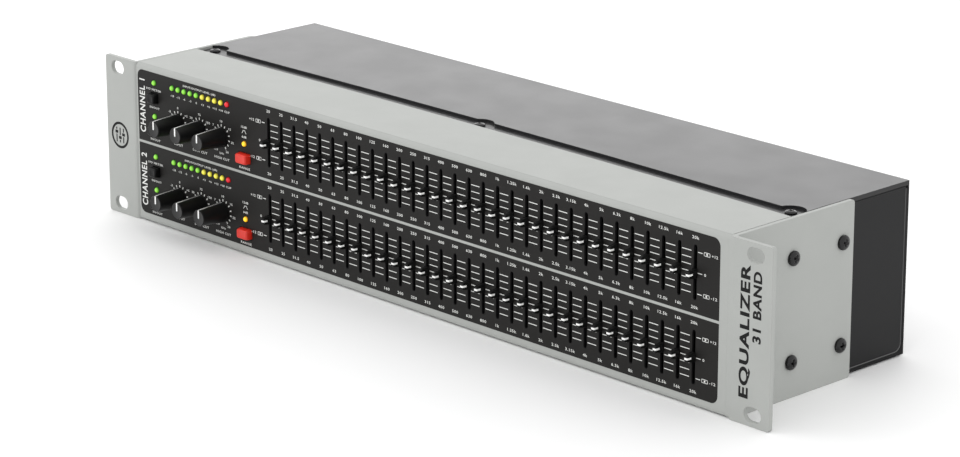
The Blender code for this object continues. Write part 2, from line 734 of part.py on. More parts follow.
def make_main_board():
    """Horizontal amplifier board on the tray's floor, with chips and capacitors."""
    bottom = FLOOR + MAIN_BOARD_LIFT
    top = bottom + BOARD
    shape = bmesh.new()
    add_box(shape, MAIN_BOARD_X, MAIN_BOARD_Y, (bottom, top))
    board = make_object("main_board", shape, "circuit_board")
    parts = bmesh.new()
    width, depth, height = CHIP_SIZE
    for column in range(CHIP_COUNT[0]):
        for row in range(CHIP_COUNT[1]):
            add_box(
                parts, around(CHIP_FIRST[0] + CHIP_PITCH[0] * column, width),
                around(CHIP_FIRST[1] + CHIP_PITCH[1] * row, depth), (top - SINK, top + height),
            )
    radius, rise = CAPACITOR_SIZE
    for x in CAPACITOR_X:
        for y in CAPACITOR_Y:
            add_prism(parts, circle(x, y, radius, 8), "Z", top - SINK, top + rise)
    join(board, parts)
    posts = bmesh.new()
    for x in POST_X:
        for y in POST_Y:
            add_prism(posts, circle(x, y, POST_RADIUS, 6), "Z", FLOOR + GAP, bottom + SINK)
    join(board, posts)


def make_transformer():
    """Laminated core with its coil former, standing on the tray's floor."""
    x, y = TRANSFORMER_PLACE
    base = FLOOR + GAP
    foot_top = base + FOOT_SIZE[2]
    core_bottom = foot_top - SINK
    coil_bottom = core_bottom + (CORE_SIZE[2] - COIL_SIZE[2]) / 2
    shape = bmesh.new()
    add_box(shape, around(x, CORE_SIZE[0]), around(y, CORE_SIZE[1]),
            (core_bottom, core_bottom + CORE_SIZE[2]))
    core = make_object("power_transformer", shape, "transformer_steel")
    coil = bmesh.new()
    add_box(coil, around(x, COIL_SIZE[0]), around(y, COIL_SIZE[1]),
            (coil_bottom, coil_bottom + COIL_SIZE[2]))
    join(core, coil)
    foot = bmesh.new()
    add_box(foot, around(x, FOOT_SIZE[0]), around(y, FOOT_SIZE[1]), (base, foot_top))
    join(core, foot)


# ---------------------------------------------------------------------------------------------
# Rear
# ---------------------------------------------------------------------------------------------
XLR_RADIUS = 11.4
XLR_HOLLOW_RADIUS = 9.7
XLR_INSERT_RADIUS = 7.6
XLR_FLANGE = (26.0, 31.0)
XLR_FLANGE_THICKNESS = 1.4
XLR_HOLLOW_FRONT = 114.0
XLR_BOARD_MARGIN = 12.5
CONTACT_CIRCLE = 4.9            # radius of the circle of three contacts
CONTACT_ANGLES = (30.0, 150.0, 270.0)
PIN_RADIUS = 1.2
SOCKET_RADIUS = 1.4
JACK_RADIUS = 4.6
JACK_BORE_RADIUS = 3.3
JACK_BORE_FRONT = 106.0
JACK_BODY = (14.0, 16.0)
JACK_BODY_GAP = 1.0             # between the body and the rear wall
JACK_NUT = (7.4, 2.0)           # radius across corners, height
JACK_BOARD_MARGIN = 9.0
INLET_BODY = (27.4, 19.6)
INLET_CAVITY = (24.0, 16.4, 15.0)
INLET_CHAMFER = 4.0
INLET_FLANGE_THICKNESS = 2.0
INLET_DEPTH = 19.0
INLET_PIN_SIZE = (2.0, 4.0)
INLET_PIN_OFFSET = (7.0, 2.0)
INLET_PIN_RECESS = 3.0
ROCKER_BODY = (19.0, 12.8)
ROCKER_WALL = 1.2
ROCKER_DEPTH = 16.0
ROCKER_ROOM = 8.0               # free depth in front of the pivot
ROCKER_RISE = (3.4, 1.2)        # height of the rocker's ends above the pivot, dip at its middle
ROCKER_ROOT = (2.6, -4.5)       # half width and place of its inner end
POWER_FLANGE_MARGIN = 1.8
CONNECTOR_FRONT = 104.0
CONNECTOR_BOARD_HEIGHT = 30.0
INSERT_RECESS = 1.0             # depth of the socket's insert behind the flange's face
PIN_RECESS = 2.5                # the same for the plug's pins
CONTACT_FLOOR = 3.0             # from the hollow's end to the end of the socket's contacts
PLATE_FRONT = BODY_REAR + GAP
PLATE_REAR = PLATE_FRONT + SHEET
FLANGE_FRONT = PLATE_REAR + GAP
ROCKER_PIVOT_Y = BODY_REAR - 0.8


def make_rear_plate():
    """Flat plate that carries the connectors, over the window of the tray's rear wall."""
    shape = bmesh.new()
    outline = rounded_rectangle(
        (-REAR_PLATE_HALF_WIDTH, REAR_PLATE_Z[0]), (REAR_PLATE_HALF_WIDTH, REAR_PLATE_Z[1]), (2.0,) * 4
    )
    add_prism(shape, outline, "Y", PLATE_FRONT, PLATE_REAR)
    plate = make_object("rear_plate", shape, "black_paint")
    holes = bmesh.new()
    start = PLATE_FRONT - PAST
    for channel in range(2):
        for x in XLR_X[channel]:
            add_prism(holes, circle(x, CONNECTOR_Z, XLR_RADIUS + 0.4, 16), "Y", start, FAR)
        for x in JACK_X[channel]:
            add_prism(holes, circle(x, CONNECTOR_Z, JACK_RADIUS + 0.4, 12), "Y", start, FAR)
    for x, size in ((INLET_X, INLET_BODY), (ROCKER_X, ROCKER_BODY)):
        add_box(holes, around(x, size[0] + 2 * GAP), (start, FAR),
                around(CONNECTOR_Z, size[1] + 2 * GAP))
    for x in REAR_SCREW_X:
        for z in REAR_SCREW_Z:
            add_prism(holes, circle(x, z, SCREW_HOLE_RADIUS, 8), "Y", start, FAR)
    cut(plate, holes)


def make_connector_board(name, xs, margin):
    """Small upright circuit board behind a channel's connectors."""
    shape = bmesh.new()
    add_box(shape, (min(xs) - margin, max(xs) + margin), (CONNECTOR_FRONT - BOARD, CONNECTOR_FRONT),
            around(CONNECTOR_Z, CONNECTOR_BOARD_HEIGHT))
    return make_object(name, shape, "connector_metal")


def make_balanced_connectors(name, channel):
    """Balanced socket and balanced plug of one channel, on a common board."""
    socket_x, plug_x = XLR_X[channel]
    flange_rear = FLANGE_FRONT + XLR_FLANGE_THICKNESS
    node = make_connector_board(name, XLR_X[channel], XLR_BOARD_MARGIN)
    barrels = bmesh.new()
    flanges = bmesh.new()
    hollows = bmesh.new()
    for x in XLR_X[channel]:
        add_prism(barrels, circle(x, CONNECTOR_Z, XLR_RADIUS, 16), "Y", CONNECTOR_FRONT - SINK,
                  flange_rear - GAP)
        add_box(flanges, around(x, XLR_FLANGE[0]), (FLANGE_FRONT, flange_rear),
                around(CONNECTOR_Z, XLR_FLANGE[1]))
        add_prism(hollows, circle(x, CONNECTOR_Z, XLR_HOLLOW_RADIUS, 16), "Y", XLR_HOLLOW_FRONT, FAR)
    join(node, barrels)
    join(node, flanges)
    cut(node, hollows)
    inserts = bmesh.new()
    add_prism(inserts, circle(socket_x, CONNECTOR_Z, XLR_INSERT_RADIUS, 12), "Y",
              XLR_HOLLOW_FRONT - SINK, flange_rear - INSERT_RECESS)
    for x, z in contact_places(plug_x):
        add_prism(inserts, circle(x, z, PIN_RADIUS, 6), "Y", XLR_HOLLOW_FRONT - SINK,
                  flange_rear - PIN_RECESS)
    join(node, inserts)
    contacts = bmesh.new()
    for x, z in contact_places(socket_x):
        add_prism(contacts, circle(x, z, SOCKET_RADIUS, 6), "Y",
                  XLR_HOLLOW_FRONT + CONTACT_FLOOR, FAR)
    cut(node, contacts)


def contact_places(x):
    """The three contacts of a balanced connector."""
    angles = [math.radians(angle) for angle in CONTACT_ANGLES]
    return [
        (x + CONTACT_CIRCLE * math.cos(angle), CONNECTOR_Z + CONTACT_CIRCLE * math.sin(angle))
        for angle in angles
    ]


def make_jacks(name, channel):
    """Two jack sockets of one channel with their nuts, on a common board."""
    nut_radius, nut_height = JACK_NUT
    body_rear = BODY_REAR - SHEET - JACK_BODY_GAP
    node = make_connector_board(name, JACK_X[channel], JACK_BOARD_MARGIN)
    bodies = bmesh.new()
    bushings = bmesh.new()
    nuts = bmesh.new()
    bores = bmesh.new()
    for x in JACK_X[channel]:
        add_box(bodies, around(x, JACK_BODY[0]), (CONNECTOR_FRONT - SINK, body_rear),
                around(CONNECTOR_Z, JACK_BODY[1]))
        add_prism(bushings, circle(x, CONNECTOR_Z, JACK_RADIUS, 12), "Y", body_rear - SINK,
                  BODY_REAR + JACK_REACH)
        add_prism(nuts, circle(x, CONNECTOR_Z, nut_radius, 6), "Y", FLANGE_FRONT,
                  FLANGE_FRONT + nut_height)
        add_prism(bores, circle(x, CONNECTOR_Z, JACK_BORE_RADIUS, 10), "Y", JACK_BORE_FRONT, FAR)
    join(node, bodies)
    join(node, bushings)
    join(node, nuts)
    cut(node, bores)


def make_power_entry():
    """Three-pin mains inlet and housing of the power switch on a common flange."""
    flange_rear = FLANGE_FRONT + INLET_FLANGE_THICKNESS
    cavity_width, cavity_height, cavity_depth = INLET_CAVITY
    cavity_front = flange_rear - cavity_depth
    shape = bmesh.new()
    add_box(
        shape,
        (ROCKER_X - ROCKER_BODY[0] / 2 - POWER_FLANGE_MARGIN,
         INLET_X + INLET_BODY[0] / 2 + POWER_FLANGE_MARGIN),
        (FLANGE_FRONT, flange_rear), around(CONNECTOR_Z, INLET_BODY[1] + 2 * POWER_FLANGE_MARGIN),
    )
    entry = make_object("power_entry", shape, "black_plastic")
    bodies = bmesh.new()
    add_box(bodies, around(INLET_X, INLET_BODY[0]), (flange_rear - INLET_DEPTH, flange_rear - SINK),
            around(CONNECTOR_Z, INLET_BODY[1]))
    add_box(bodies, around(ROCKER_X, ROCKER_BODY[0]), (flange_rear - ROCKER_DEPTH, flange_rear - SINK),
            around(CONNECTOR_Z, ROCKER_BODY[1]))
    join(entry, bodies)

    left, right = around(INLET_X, cavity_width)
    low, high = around(CONNECTOR_Z, cavity_height)
    outline = [
        (left, low), (right, low), (right, high - INLET_CHAMFER), (right - INLET_CHAMFER, high),
        (left + INLET_CHAMFER, high), (left, high - INLET_CHAMFER),
    ]
    cavities = bmesh.new()
    add_prism(cavities, outline, "Y", cavity_front, FAR)
    add_box(cavities, around(ROCKER_X, ROCKER_BODY[0] - 2 * ROCKER_WALL),
            (ROCKER_PIVOT_Y - ROCKER_ROOM, FAR), around(CONNECTOR_Z, ROCKER_BODY[1] - 2 * ROCKER_WALL))
    cut(entry, cavities)
    pins = bmesh.new()
    for x, z in inlet_pins():
        add_box(pins, around(x, INLET_PIN_SIZE[0]),
                (cavity_front - SINK, flange_rear - INLET_PIN_RECESS), around(z, INLET_PIN_SIZE[1]))
    join(entry, pins)


def inlet_pins():
    """Earth in the middle, the two live pins lower on either side."""
    across, up = INLET_PIN_OFFSET
    return (
        (INLET_X, CONNECTOR_Z + up),
        (INLET_X - across, CONNECTOR_Z - up),
        (INLET_X + across, CONNECTOR_Z - up),
    )


def make_rocker():
    """Rocker of the power switch, tilted to "off" about a pivot across its short side."""
    clearance = 2 * ROCKER_WALL + 2 * GAP
    half_length = (ROCKER_BODY[0] - clearance) / 2
    reach, dip = ROCKER_RISE
    root_half, root_out = ROCKER_ROOT
    end = half_length - 2 * GAP
    tilt = math.radians(ROCKER_TILT)
    outline = [
        (-end, reach), (0.0, reach - dip), (end, reach),
        (root_half, root_out), (-root_half, root_out),
    ]
    turned = []
    for along, out in outline:
        x = ROCKER_X + along * math.cos(tilt) - out * math.sin(tilt)
        y = ROCKER_PIVOT_Y + along * math.sin(tilt) + out * math.cos(tilt)
        turned.append((x, y))
    shape = bmesh.new()
    add_prism(shape, turned, "Z", *around(CONNECTOR_Z, ROCKER_BODY[1] - clearance))
    make_object("power_rocker", shape, "black_plastic", (ROCKER_X, ROCKER_PIVOT_Y, CONNECTOR_Z))


# ---------------------------------------------------------------------------------------------
# Assembly
# ---------------------------------------------------------------------------------------------
def build():
    clear_scene()
    make_front_panel()
    make_tray()
    make_cover()
    make_bracket("left_rack_bracket", -1)
    make_bracket("right_rack_bracket", 1)
    for channel, middle in enumerate(CHANNEL_Z, start=1):
        for name, x in zip(KNOB_NAMES, KNOB_X):
            make_knob(f"knob_{name}_{channel}", x, middle + DIAL_LINE)
        make_button(f"button_meter_{channel}", STATUS_X, middle + UPPER_BUTTON_LINE,
                    BLACK_BUTTON_SIZE, "black_plastic")
        make_button(f"button_bypass_{channel}", STATUS_X, middle + LOWER_BUTTON_LINE,
                    BLACK_BUTTON_SIZE, "black_plastic")
        make_button(f"button_range_{channel}", RANGE_X, middle + LOWER_BUTTON_LINE,
                    RED_BUTTON_SIZE, "red_plastic")
        make_balanced_connectors(f"balanced_connectors_{channel}", channel - 1)
        make_jacks(f"line_jacks_{channel}", channel - 1)
    for number, x in enumerate(BAND_X, start=1):
        make_fader_pair(number, x)
    make_fader_board()
    make_lamp_strips()
    make_control_board()
    make_main_board()
    make_transformer()
    make_rear_plate()
    make_power_entry()
    make_rocker()


build()
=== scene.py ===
"""Looks of a two-channel, 31-band graphic equalizer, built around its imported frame.

Shapes are drawn in millimetres along the frame's own axes (X right, Y backwards, Z up) and become
metres when a mesh is made.  Places and sizes come from the boxes of the frame's nodes.
"""

import json
import math
import random

import bmesh
import bpy
from mathutils import Matrix, Vector


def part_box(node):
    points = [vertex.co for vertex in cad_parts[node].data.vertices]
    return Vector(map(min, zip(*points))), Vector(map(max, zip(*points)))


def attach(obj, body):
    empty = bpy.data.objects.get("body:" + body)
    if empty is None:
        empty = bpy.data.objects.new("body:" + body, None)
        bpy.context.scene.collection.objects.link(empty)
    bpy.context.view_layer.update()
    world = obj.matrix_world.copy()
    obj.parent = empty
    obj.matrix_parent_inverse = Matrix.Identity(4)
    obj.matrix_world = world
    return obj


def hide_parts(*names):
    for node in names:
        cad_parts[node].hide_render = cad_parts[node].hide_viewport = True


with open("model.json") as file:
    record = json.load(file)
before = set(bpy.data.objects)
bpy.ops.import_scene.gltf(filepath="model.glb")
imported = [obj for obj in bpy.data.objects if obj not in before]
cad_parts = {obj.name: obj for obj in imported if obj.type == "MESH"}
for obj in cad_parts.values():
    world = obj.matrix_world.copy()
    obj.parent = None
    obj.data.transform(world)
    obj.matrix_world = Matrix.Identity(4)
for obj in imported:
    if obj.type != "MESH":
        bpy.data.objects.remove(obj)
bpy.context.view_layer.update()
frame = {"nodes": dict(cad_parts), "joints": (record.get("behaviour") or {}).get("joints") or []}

MM = 0.001
CHANNELS = ("1", "2")
KNOBS = ("input", "low_cut", "high_cut")


def node_box(node):
    """Lowest and highest corner of a node, in millimetres."""
    low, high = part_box(node)
    return low / MM, high / MM


def node_middle(node):
    low, high = node_box(node)
    return (low + high) / 2


# ---- Places read from the frame ----
FACE = node_box("front_panel")[0].y  # front face of the panel and the ears
BODY_LEFT = node_box("front_panel")[0].x
BODY_RIGHT = node_box("front_panel")[1].x
EAR_RIGHT = node_box("right_rack_bracket")[1].x
EAR_LEFT = node_box("left_rack_bracket")[0].x
HEIGHT = node_box("right_rack_bracket")[1].z
CAP_HEIGHT = 4.8
FADERS = sorted(node for node in frame["nodes"] if node.startswith("fader_pair"))
CHANNEL_Z = {
    "1": node_box(FADERS[0])[1].z - CAP_HEIGHT / 2,
    "2": node_box(FADERS[0])[0].z + CAP_HEIGHT / 2,
}
BAND_X = [node_middle(node).x for node in FADERS]
STATUS_X = node_middle("button_meter_1").x
RANGE_X = node_middle("button_range_1").x
DIAL_LINE = node_middle("knob_input_1").z - CHANNEL_Z["1"]

# ---- Sizes of what is added ----
PRINT = 0.05  # thickness of the black print
INK = 0.03  # thickness of the lettering
PRINT_MARGIN_LEFT = 1.0  # silver left beside the print
PRINT_MARGIN_RIGHT = 5.0
PRINT_MARGIN_TOP = 2.9
PRINT_MARGIN_BOTTOM = 5.25
PRINT_CORNER = 4.0
DIVIDER = 1.4  # silver line between the channels
# The print's slot opening is wider than the panel's slot; the panel's dark tint that shows round it is
# painted shade of the slot.
SLOT = (2.2, 26.8)

# Scales of the faders
TICK_STEP = 3.35  # between the marks of a fader's scale
TICKS_EACH_WAY = 3
TICK_OFFSET = 4.5
TICK_SIZE = (5.8, 0.4)
FIRST_TICK_INSET = 4.2
FIRST_TICK_SIZE = (2.2, 0.4)
LAST_TICK_OFFSET = 3.0
LAST_TICK_SIZE = (2.8, 0.38)
BAND_WORDS_REACH = 16.8
SCALE_END_REACHES = {-1: (8.2, 13.4, 7.3), 1: (7.2, 12.0, 6.2)}  # symbol, number and zero
SCALE_NUMBER_LENGTH = 3.8
SCALE_SYMBOL_SIZE = (3.9, 1.9)
SCALE_DOT_SIZE = (0.9, 0.9)

# Lettering, with the height of its capitals
LETTER_RISE = 0.682  # capital height of the font at size 1
LETTER_STRETCH = 1.3  # small lettering is wide
LETTER_SPACE = 1.12
TITLE_LETTER = 1.0
LEVEL_LETTER = 1.05
UNIT_LETTER = 1.1
DIAL_LETTER = 1.15
KNOB_LETTER = 1.25
SCALE_LETTER = 1.3
BAND_LETTER = 1.4
CHANNEL_LETTER = 4.2
LARGE_LETTER = 2.0  # from this height on, curves are finer

# Level meter, lamps and openings in the print
METER_FIRST_X = -184.4
METER_PITCH = 5.04
METER_LINE = 13.85  # height of the lamps above a channel's middle
METER_TITLE_RISE = 17.05
METER_TITLE_LENGTH = 26.7
LEVEL_RISE = 9.7
LAMP_RADIUS = 1.55
LAMP_CLEARANCE = 0.25
KNOB_HOLE = 3.5
BUTTON_CLEARANCE = 0.6

# Brackets and screws
SEAM_BEND = 3.0  # outer bend of the bracket beside the seam
SEAM_CORNER = 1.5
BRACKET_SHEET = 2.5
SIDE_SCREW_HEAD = (3.7, 2.4)  # radius and height
COVER_SCREW_HEAD = (3.0, 1.4)
FLANGE_SCREW_HEAD = (1.9, 0.75)
SIDE_SCREW_Y = (-16.0, 19.0)
SIDE_SCREW_Z = (18.0, 68.8)
COVER_SCREW_X = (-208.0, 0.0, 208.0)
COVER_SCREW_PLACE = (-7.5, 86.6)  # Y and Z
REAR_SCREW_X = (-203.0, 0.0, 203.0)
REAR_SCREW_Z = (23.5, 64.5)

# Dials: marks, and numbers by angle
DIAL_SWEEP = 150  # degrees to each side
DIAL_STEP = 25
DIAL_MARK_RADIUS = 6.3
DIAL_MARK_SIZE = (0.62, 1.25)
DIAL_NUMBER_RISE = 8.5
DIAL_NUMBER_REACH = 8.6  # of one character; each further one adds some
DIAL_NUMBER_GROWTH = 0.35
DIALS = {
    "input": {-150: "-12", -50: "-5", 0: "0", 50: "+5", 150: "+12"},
    "low_cut": {-150: "10", -50: "30", 0: "75", 50: "150", 150: "200"},
    "high_cut": {-150: "2.5", -50: "7", 0: "10", 50: "15", 100: "22", 150: "26"},
}

# Ears: words with their inset, height above the bottom, letter height and length
EAR_WORDS = (
    ("EQUALIZER", 16.1, 45.0, 5.2, 64.0),
    ("31 BAND", 8.7, 57.9, 4.6, 34.0),
)
EMBLEM_RING = (7.4, 6.0)
EMBLEM_FADERS = ((-2.9, 1.6), (0.0, -1.4), (2.9, 0.6))  # place and rise of each cap
EMBLEM_CAP = (2.4, 1.7)
EMBLEM_BAR = 0.9
EMBLEM_REACH = 4.2
EMBLEM_BREAK = 1.25  # half of the bar that each cap takes

# Words by the controls; a button's have their place, rise, letter height and length
BUTTON_WORDS = (
    ("I/O METER", STATUS_X - 0.4, 10.05, 1.1, 12.4),
    ("IN/OUT", STATUS_X, 0.15, 1.1, 8.2),
    ("IN/OUT", STATUS_X, -17.65, 1.1, 8.2),
    ("12dB", RANGE_X, 4.35, 1.15, None),
    ("6dB", RANGE_X, -0.95, 1.15, None),
    ("RANGE", RANGE_X, -17.85, 1.2, 8.6),
)
KNOB_WORDS = {"input": "INPUT", "low_cut": "LOW CUT", "high_cut": "HIGH CUT"}
KNOB_WORDS_RISE = -16.35
UNIT_RISE = -13.6
CHANNEL_WORDS_PLACE = (4.7, -0.4)  # from the body's left side and the channel's middle
CHANNEL_WORDS_LENGTH = 29.5
LEVELS = "-18 -12 -6 -3 0 +3 +6 +12 +18 CLIP".split()
BANDS = (
    "20 25 31.5 40 50 63 80 100 125 160 200 250 315 400 500 630 800 1k 1.25k 1.6k 2k 2.5k 3.15k "
    "4k 5k 6.3k 8k 10k 12.5k 16k 20k"
).split()


# ---- Outlines ----
def around(centre, size):
    return (centre - size / 2, centre + size / 2)


def circle(x, y, radius, segments=32):
    turn = 2 * math.pi / segments
    return [
        (x + radius * math.cos(turn * step), y + radius * math.sin(turn * step))
        for step in range(segments)
    ]


def rounded(x_range, y_range, radii, segments=6):
    """Rectangle with its own corner radii, counterclockwise from the lowest corner."""
    (x0, x1), (y0, y1) = x_range, y_range
    corners = ((x0, y0, 1, 1), (x1, y0, -1, 1), (x1, y1, -1, -1), (x0, y1, 1, -1))
    points = []
    for turn, ((x, y, in_x, in_y), radius) in enumerate(zip(corners, radii)):
        steps = segments if radius else 0
        for step in range(steps + 1):
            angle = math.pi * (1 + turn / 2 + (step / segments / 2 if radius else 0))
            points.append((
                x + in_x * radius + radius * math.cos(angle),
                y + in_y * radius + radius * math.sin(angle),
            ))
    return points


def rounded_box(x, y, width, height, radius, segments=4):
    return rounded(around(x, width), around(y, height), (radius,) * 4, segments)


# ---- Meshes ----
def add_loft(shape, sections):
    """Solid through a list of rings with equal counts of (x, y, z) points, closed at both ends."""
    rings = [[shape.verts.new(point) for point in section] for section in sections]
    count = len(rings[0])
    faces = [shape.faces.new(rings[0]), shape.faces.new(list(reversed(rings[-1])))]
    for first, second in zip(rings, rings[1:]):
        for index in range(count):
            following = (index + 1) % count
            faces.append(shape.faces.new(
                (first[index], second[index], second[following], first[following])
            ))
    return faces


def add_prism(shape, outline, axis, start, end):
    """Extrude a flat outline along an axis; its points are the two other coordinates."""
    place = {
        "X": lambda point, along: (along, point[0], point[1]),
        "Y": lambda point, along: (point[0], along, point[1]),
    }[axis]
    return add_loft(shape, [[place(point, along) for point in outline] for along in (start, end)])


def add_turned(shape, profile, centre, segments=32):
    """Turn a profile of (depth, radius) points about the Y axis through centre (x, z)."""
    sections = [
        [(x, depth, z) for x, z in circle(*centre, max(radius, 0.01), segments)]
        for depth, radius in profile
    ]
    return add_loft(shape, sections)


def paint_faces(faces, slot):
    for face in faces:
        face.material_index = slot


def to_mesh(shape, name, smooth_degrees=35):
    """Mesh in metres from a bmesh in millimetres."""
    bmesh.ops.remove_doubles(shape, verts=shape.verts, dist=1e-5)
    bmesh.ops.recalc_face_normals(shape, faces=shape.faces)
    for vertex in shape.verts:
        vertex.co *= MM
    mesh = bpy.data.meshes.new(name)
    shape.to_mesh(mesh)
    shape.free()
    mesh.shade_smooth()
    mesh.set_sharp_from_angle(angle=math.radians(smooth_degrees))
    return mesh


def add_piece(name, mesh, body, materials, matrix=None):
    """Object of a mesh that rides on a body, with its materials."""
    piece = bpy.data.objects.new(name, mesh)
    bpy.context.scene.collection.objects.link(piece)
    if not mesh.materials:
        for material in materials:
            mesh.materials.append(material)
    if matrix is not None:
        piece.matrix_world = matrix
    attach(piece, body)
    return piece


def add_ink(name, shape, body="case", finish="white_ink"):
    """Piece of printed lettering or marks."""
    return add_piece(name, to_mesh(shape, name), body, finishes(finish))


# ---- Flat drawings: lettering and marks, thin solids on a plane ----
def front_plane(depth):
    """Matrix from a drawing (x right, y up, z outwards) to a plane that faces the front."""
    return Matrix(((1, 0, 0, 0), (0, 0, -1, depth), (0, 1, 0, 0), (0, 0, 0, 1)))


def rear_plane(depth):
    return Matrix(((-1, 0, 0, 0), (0, 0, 1, depth), (0, 1, 0, 0), (0, 0, 0, 1)))


def add_drawing(shape, curve, plane, thickness, scale=(1.0, 1.0), place=(0.0, 0.0), turn=0.0,
                centred=False):
    """Add a filled curve to shape as a solid that stands on the plane."""
    holder = bpy.data.objects.new("drawing", curve)
    mesh = holder.to_mesh()
    xs = [vertex.co.x for vertex in mesh.vertices]
    centre_x = (min(xs) + max(xs)) / 2 if centred else 0.0
    centre_y = LETTER_RISE / 2 if centred else 0.0
    top = max(vertex.co.z for vertex in mesh.vertices)
    before = len(shape.verts)
    shape.from_mesh(mesh)
    shape.verts.ensure_lookup_table()
    added = shape.verts[before:]
    lay = plane @ Matrix.Translation((*place, 0.0)) @ Matrix.Rotation(math.radians(turn), 4, "Z")
    for vertex in added:
        x, y, z = vertex.co
        flat = Vector((
            (x - centre_x) * scale[0], (y - centre_y) * scale[1], thickness if z > top / 2 else 0.0,
        ))
        vertex.co = lay @ flat
    holder.to_mesh_clear()
    bpy.data.objects.remove(holder)


def add_plate(shape, outlines, plane, thickness):
    """Plate over outlines on a plane; an outline inside another one is a hole."""
    curve = bpy.data.curves.new("outlines", "CURVE")
    curve.dimensions = "2D"
    curve.fill_mode = "BOTH"
    curve.extrude = 1.0
    for outline in outlines:
        spline = curve.splines.new("POLY")
        spline.points.add(len(outline) - 1)
        for point, (x, y) in zip(spline.points, outline):
            point.co = (x, y, 0.0, 1.0)
        spline.use_cyclic_u = True
    add_drawing(shape, curve, plane, thickness)
    bpy.data.curves.remove(curve)


def add_words(shape, words, plane, place, height, length=None, turn=0.0, bold=0.012, thickness=INK):
    """Lettering centred on a place; length stretches it to a given extent."""
    curve = bpy.data.curves.new("words", "FONT")
    curve.body = words
    curve.space_character = LETTER_SPACE
    curve.resolution_u = 2 if height < LARGE_LETTER else 8
    curve.extrude = 0.01
    curve.offset = bold
    rise = height / LETTER_RISE
    wide = rise * LETTER_STRETCH
    if length:
        holder = bpy.data.objects.new("words", curve)
        xs = [vertex.co.x for vertex in holder.to_mesh().vertices]
        wide = length / (max(xs) - min(xs))
        holder.to_mesh_clear()
        bpy.data.objects.remove(holder)
    add_drawing(shape, curve, plane, thickness, (wide, rise), place, turn, centred=True)
    bpy.data.curves.remove(curve)


def add_mark(shape, plane, place, size, turn=0.0, thickness=INK):
    """Small rectangle of ink centred on a place."""
    lay = plane @ Matrix.Translation((*place, 0.0)) @ Matrix.Rotation(math.radians(turn), 4, "Z")
    half_x, half_y = size[0] / 2, size[1] / 2
    corners = ((-half_x, -half_y), (half_x, -half_y), (half_x, half_y), (-half_x, half_y))
    add_loft(shape, [[lay @ Vector((x, y, z)) for x, y in corners] for z in (0.0, thickness)])


# ---- Materials ----
def tone(red, green, blue):
    """Linear colour of an sRGB one of 0 to 255."""
    return tuple(
        ((value / 255 + 0.055) / 1.055) ** 2.4 if value > 10 else value / 255 / 12.92
        for value in (red, green, blue)
    )


def add_node(tree, kind, inputs=None, **settings):
    """Shader node; each input is a value or the output that feeds it."""
    node = tree.nodes.new("ShaderNode" + kind)
    for name, value in settings.items():
        setattr(node, name, value)
    for name, value in (inputs or {}).items():
        if isinstance(value, bpy.types.NodeSocket):
            tree.links.new(value, node.inputs[name])
        else:
            node.inputs[name].default_value = value
    return node


def object_place(tree):
    return add_node(tree, "TexCoord").outputs["Object"]


def noise(tree, size, detail=2.0, stretch=(1.0, 1.0, 1.0)):
    """Noise with features of a size in millimetres, longer where stretch is below 1."""
    place = add_node(tree, "Mapping", {"Vector": object_place(tree), "Scale": stretch})
    settings = {"Vector": place.outputs[0], "Scale": 1 / (size * MM), "Detail": detail}
    return add_node(tree, "TexNoise", settings).outputs[0]


def spread(tree, value, low, high, start=0.35, end=0.65):
    """Value that goes from low to high while its source goes from start to end."""
    settings = {0: value, 1: start, 2: end, 3: low, 4: high}
    return add_node(tree, "MapRange", settings).outputs[0]


def mixed(tree, factor, first, second):
    """Colour between two others, each a colour or an output."""
    colours = [
        other if isinstance(other, bpy.types.NodeSocket) else (*other, 1.0)
        for other in (first, second)
    ]
    settings = {0: factor, 6: colours[0], 7: colours[1]}
    return add_node(tree, "Mix", settings, data_type="RGBA").outputs[2]


def within(tree, axis, low, high):
    """1 where the object coordinate on an axis lies between two places in millimetres."""
    coordinate = add_node(tree, "SeparateXYZ", {0: object_place(tree)}).outputs[axis]
    centre = (low + high) / 2 * MM
    settings = {0: coordinate, 1: centre, 2: (high - low) / 2 * MM}
    return add_node(tree, "Math", settings, operation="COMPARE").outputs[0]


def both(tree, first, second):
    """Product of two masks or values."""
    return add_node(tree, "Math", {0: first, 1: second}, operation="MULTIPLY").outputs[0]


def shaded(colour, factor):
    return tuple(min(value * factor, 1.0) for value in colour)


FLECK_STRENGTH = 0.35


def make_finish(name, colour, roughness, metallic=0.0, specular=0.5, variation=0.06, patch=25.0,
                grain=0.35, relief=0.01, stretch=(1.0, 1.0, 1.0), uneven=0.015):
    """Finish with slow patches of colour and roughness and a fine grain in relief."""
    material = bpy.data.materials.new(name)
    material.use_nodes = True
    tree = material.node_tree
    shader = tree.nodes["Principled BSDF"]
    shader.inputs["Metallic"].default_value = metallic
    shader.inputs["Specular IOR Level"].default_value = specular
    patches = spread(tree, noise(tree, patch, 3.0), 0.0, 1.0)
    tint = mixed(tree, patches, shaded(colour, 1 - variation), shaded(colour, 1 + variation))
    fine = noise(tree, grain, 2.0, stretch)
    flecks = spread(tree, fine, 0.0, 1.0)
    faint = both(tree, flecks, FLECK_STRENGTH)
    tint = mixed(tree, faint, tint, shaded(colour, 1 - 2 * variation))
    tree.links.new(tint, shader.inputs["Base Color"])
    rough = spread(tree, noise(tree, patch * 0.4), roughness - uneven, roughness + uneven)
    tree.links.new(rough, shader.inputs["Roughness"])
    bump = add_node(tree, "Bump", {"Height": fine, "Distance": relief * MM, "Strength": 1.0})
    tree.links.new(bump.outputs["Normal"], shader.inputs["Normal"])
    return material


def base_colour(material):
    """Shader and the output that now feeds its colour."""
    shader = material.node_tree.nodes["Principled BSDF"]
    return shader, shader.inputs["Base Color"].links[0].from_socket


def tint_where(material, mask, colour):
    """Lay a colour over a finish where a mask output is 1."""
    tree = material.node_tree
    shader, under = base_colour(material)
    tree.links.new(mixed(tree, mask, under, colour), shader.inputs["Base Color"])
    return material


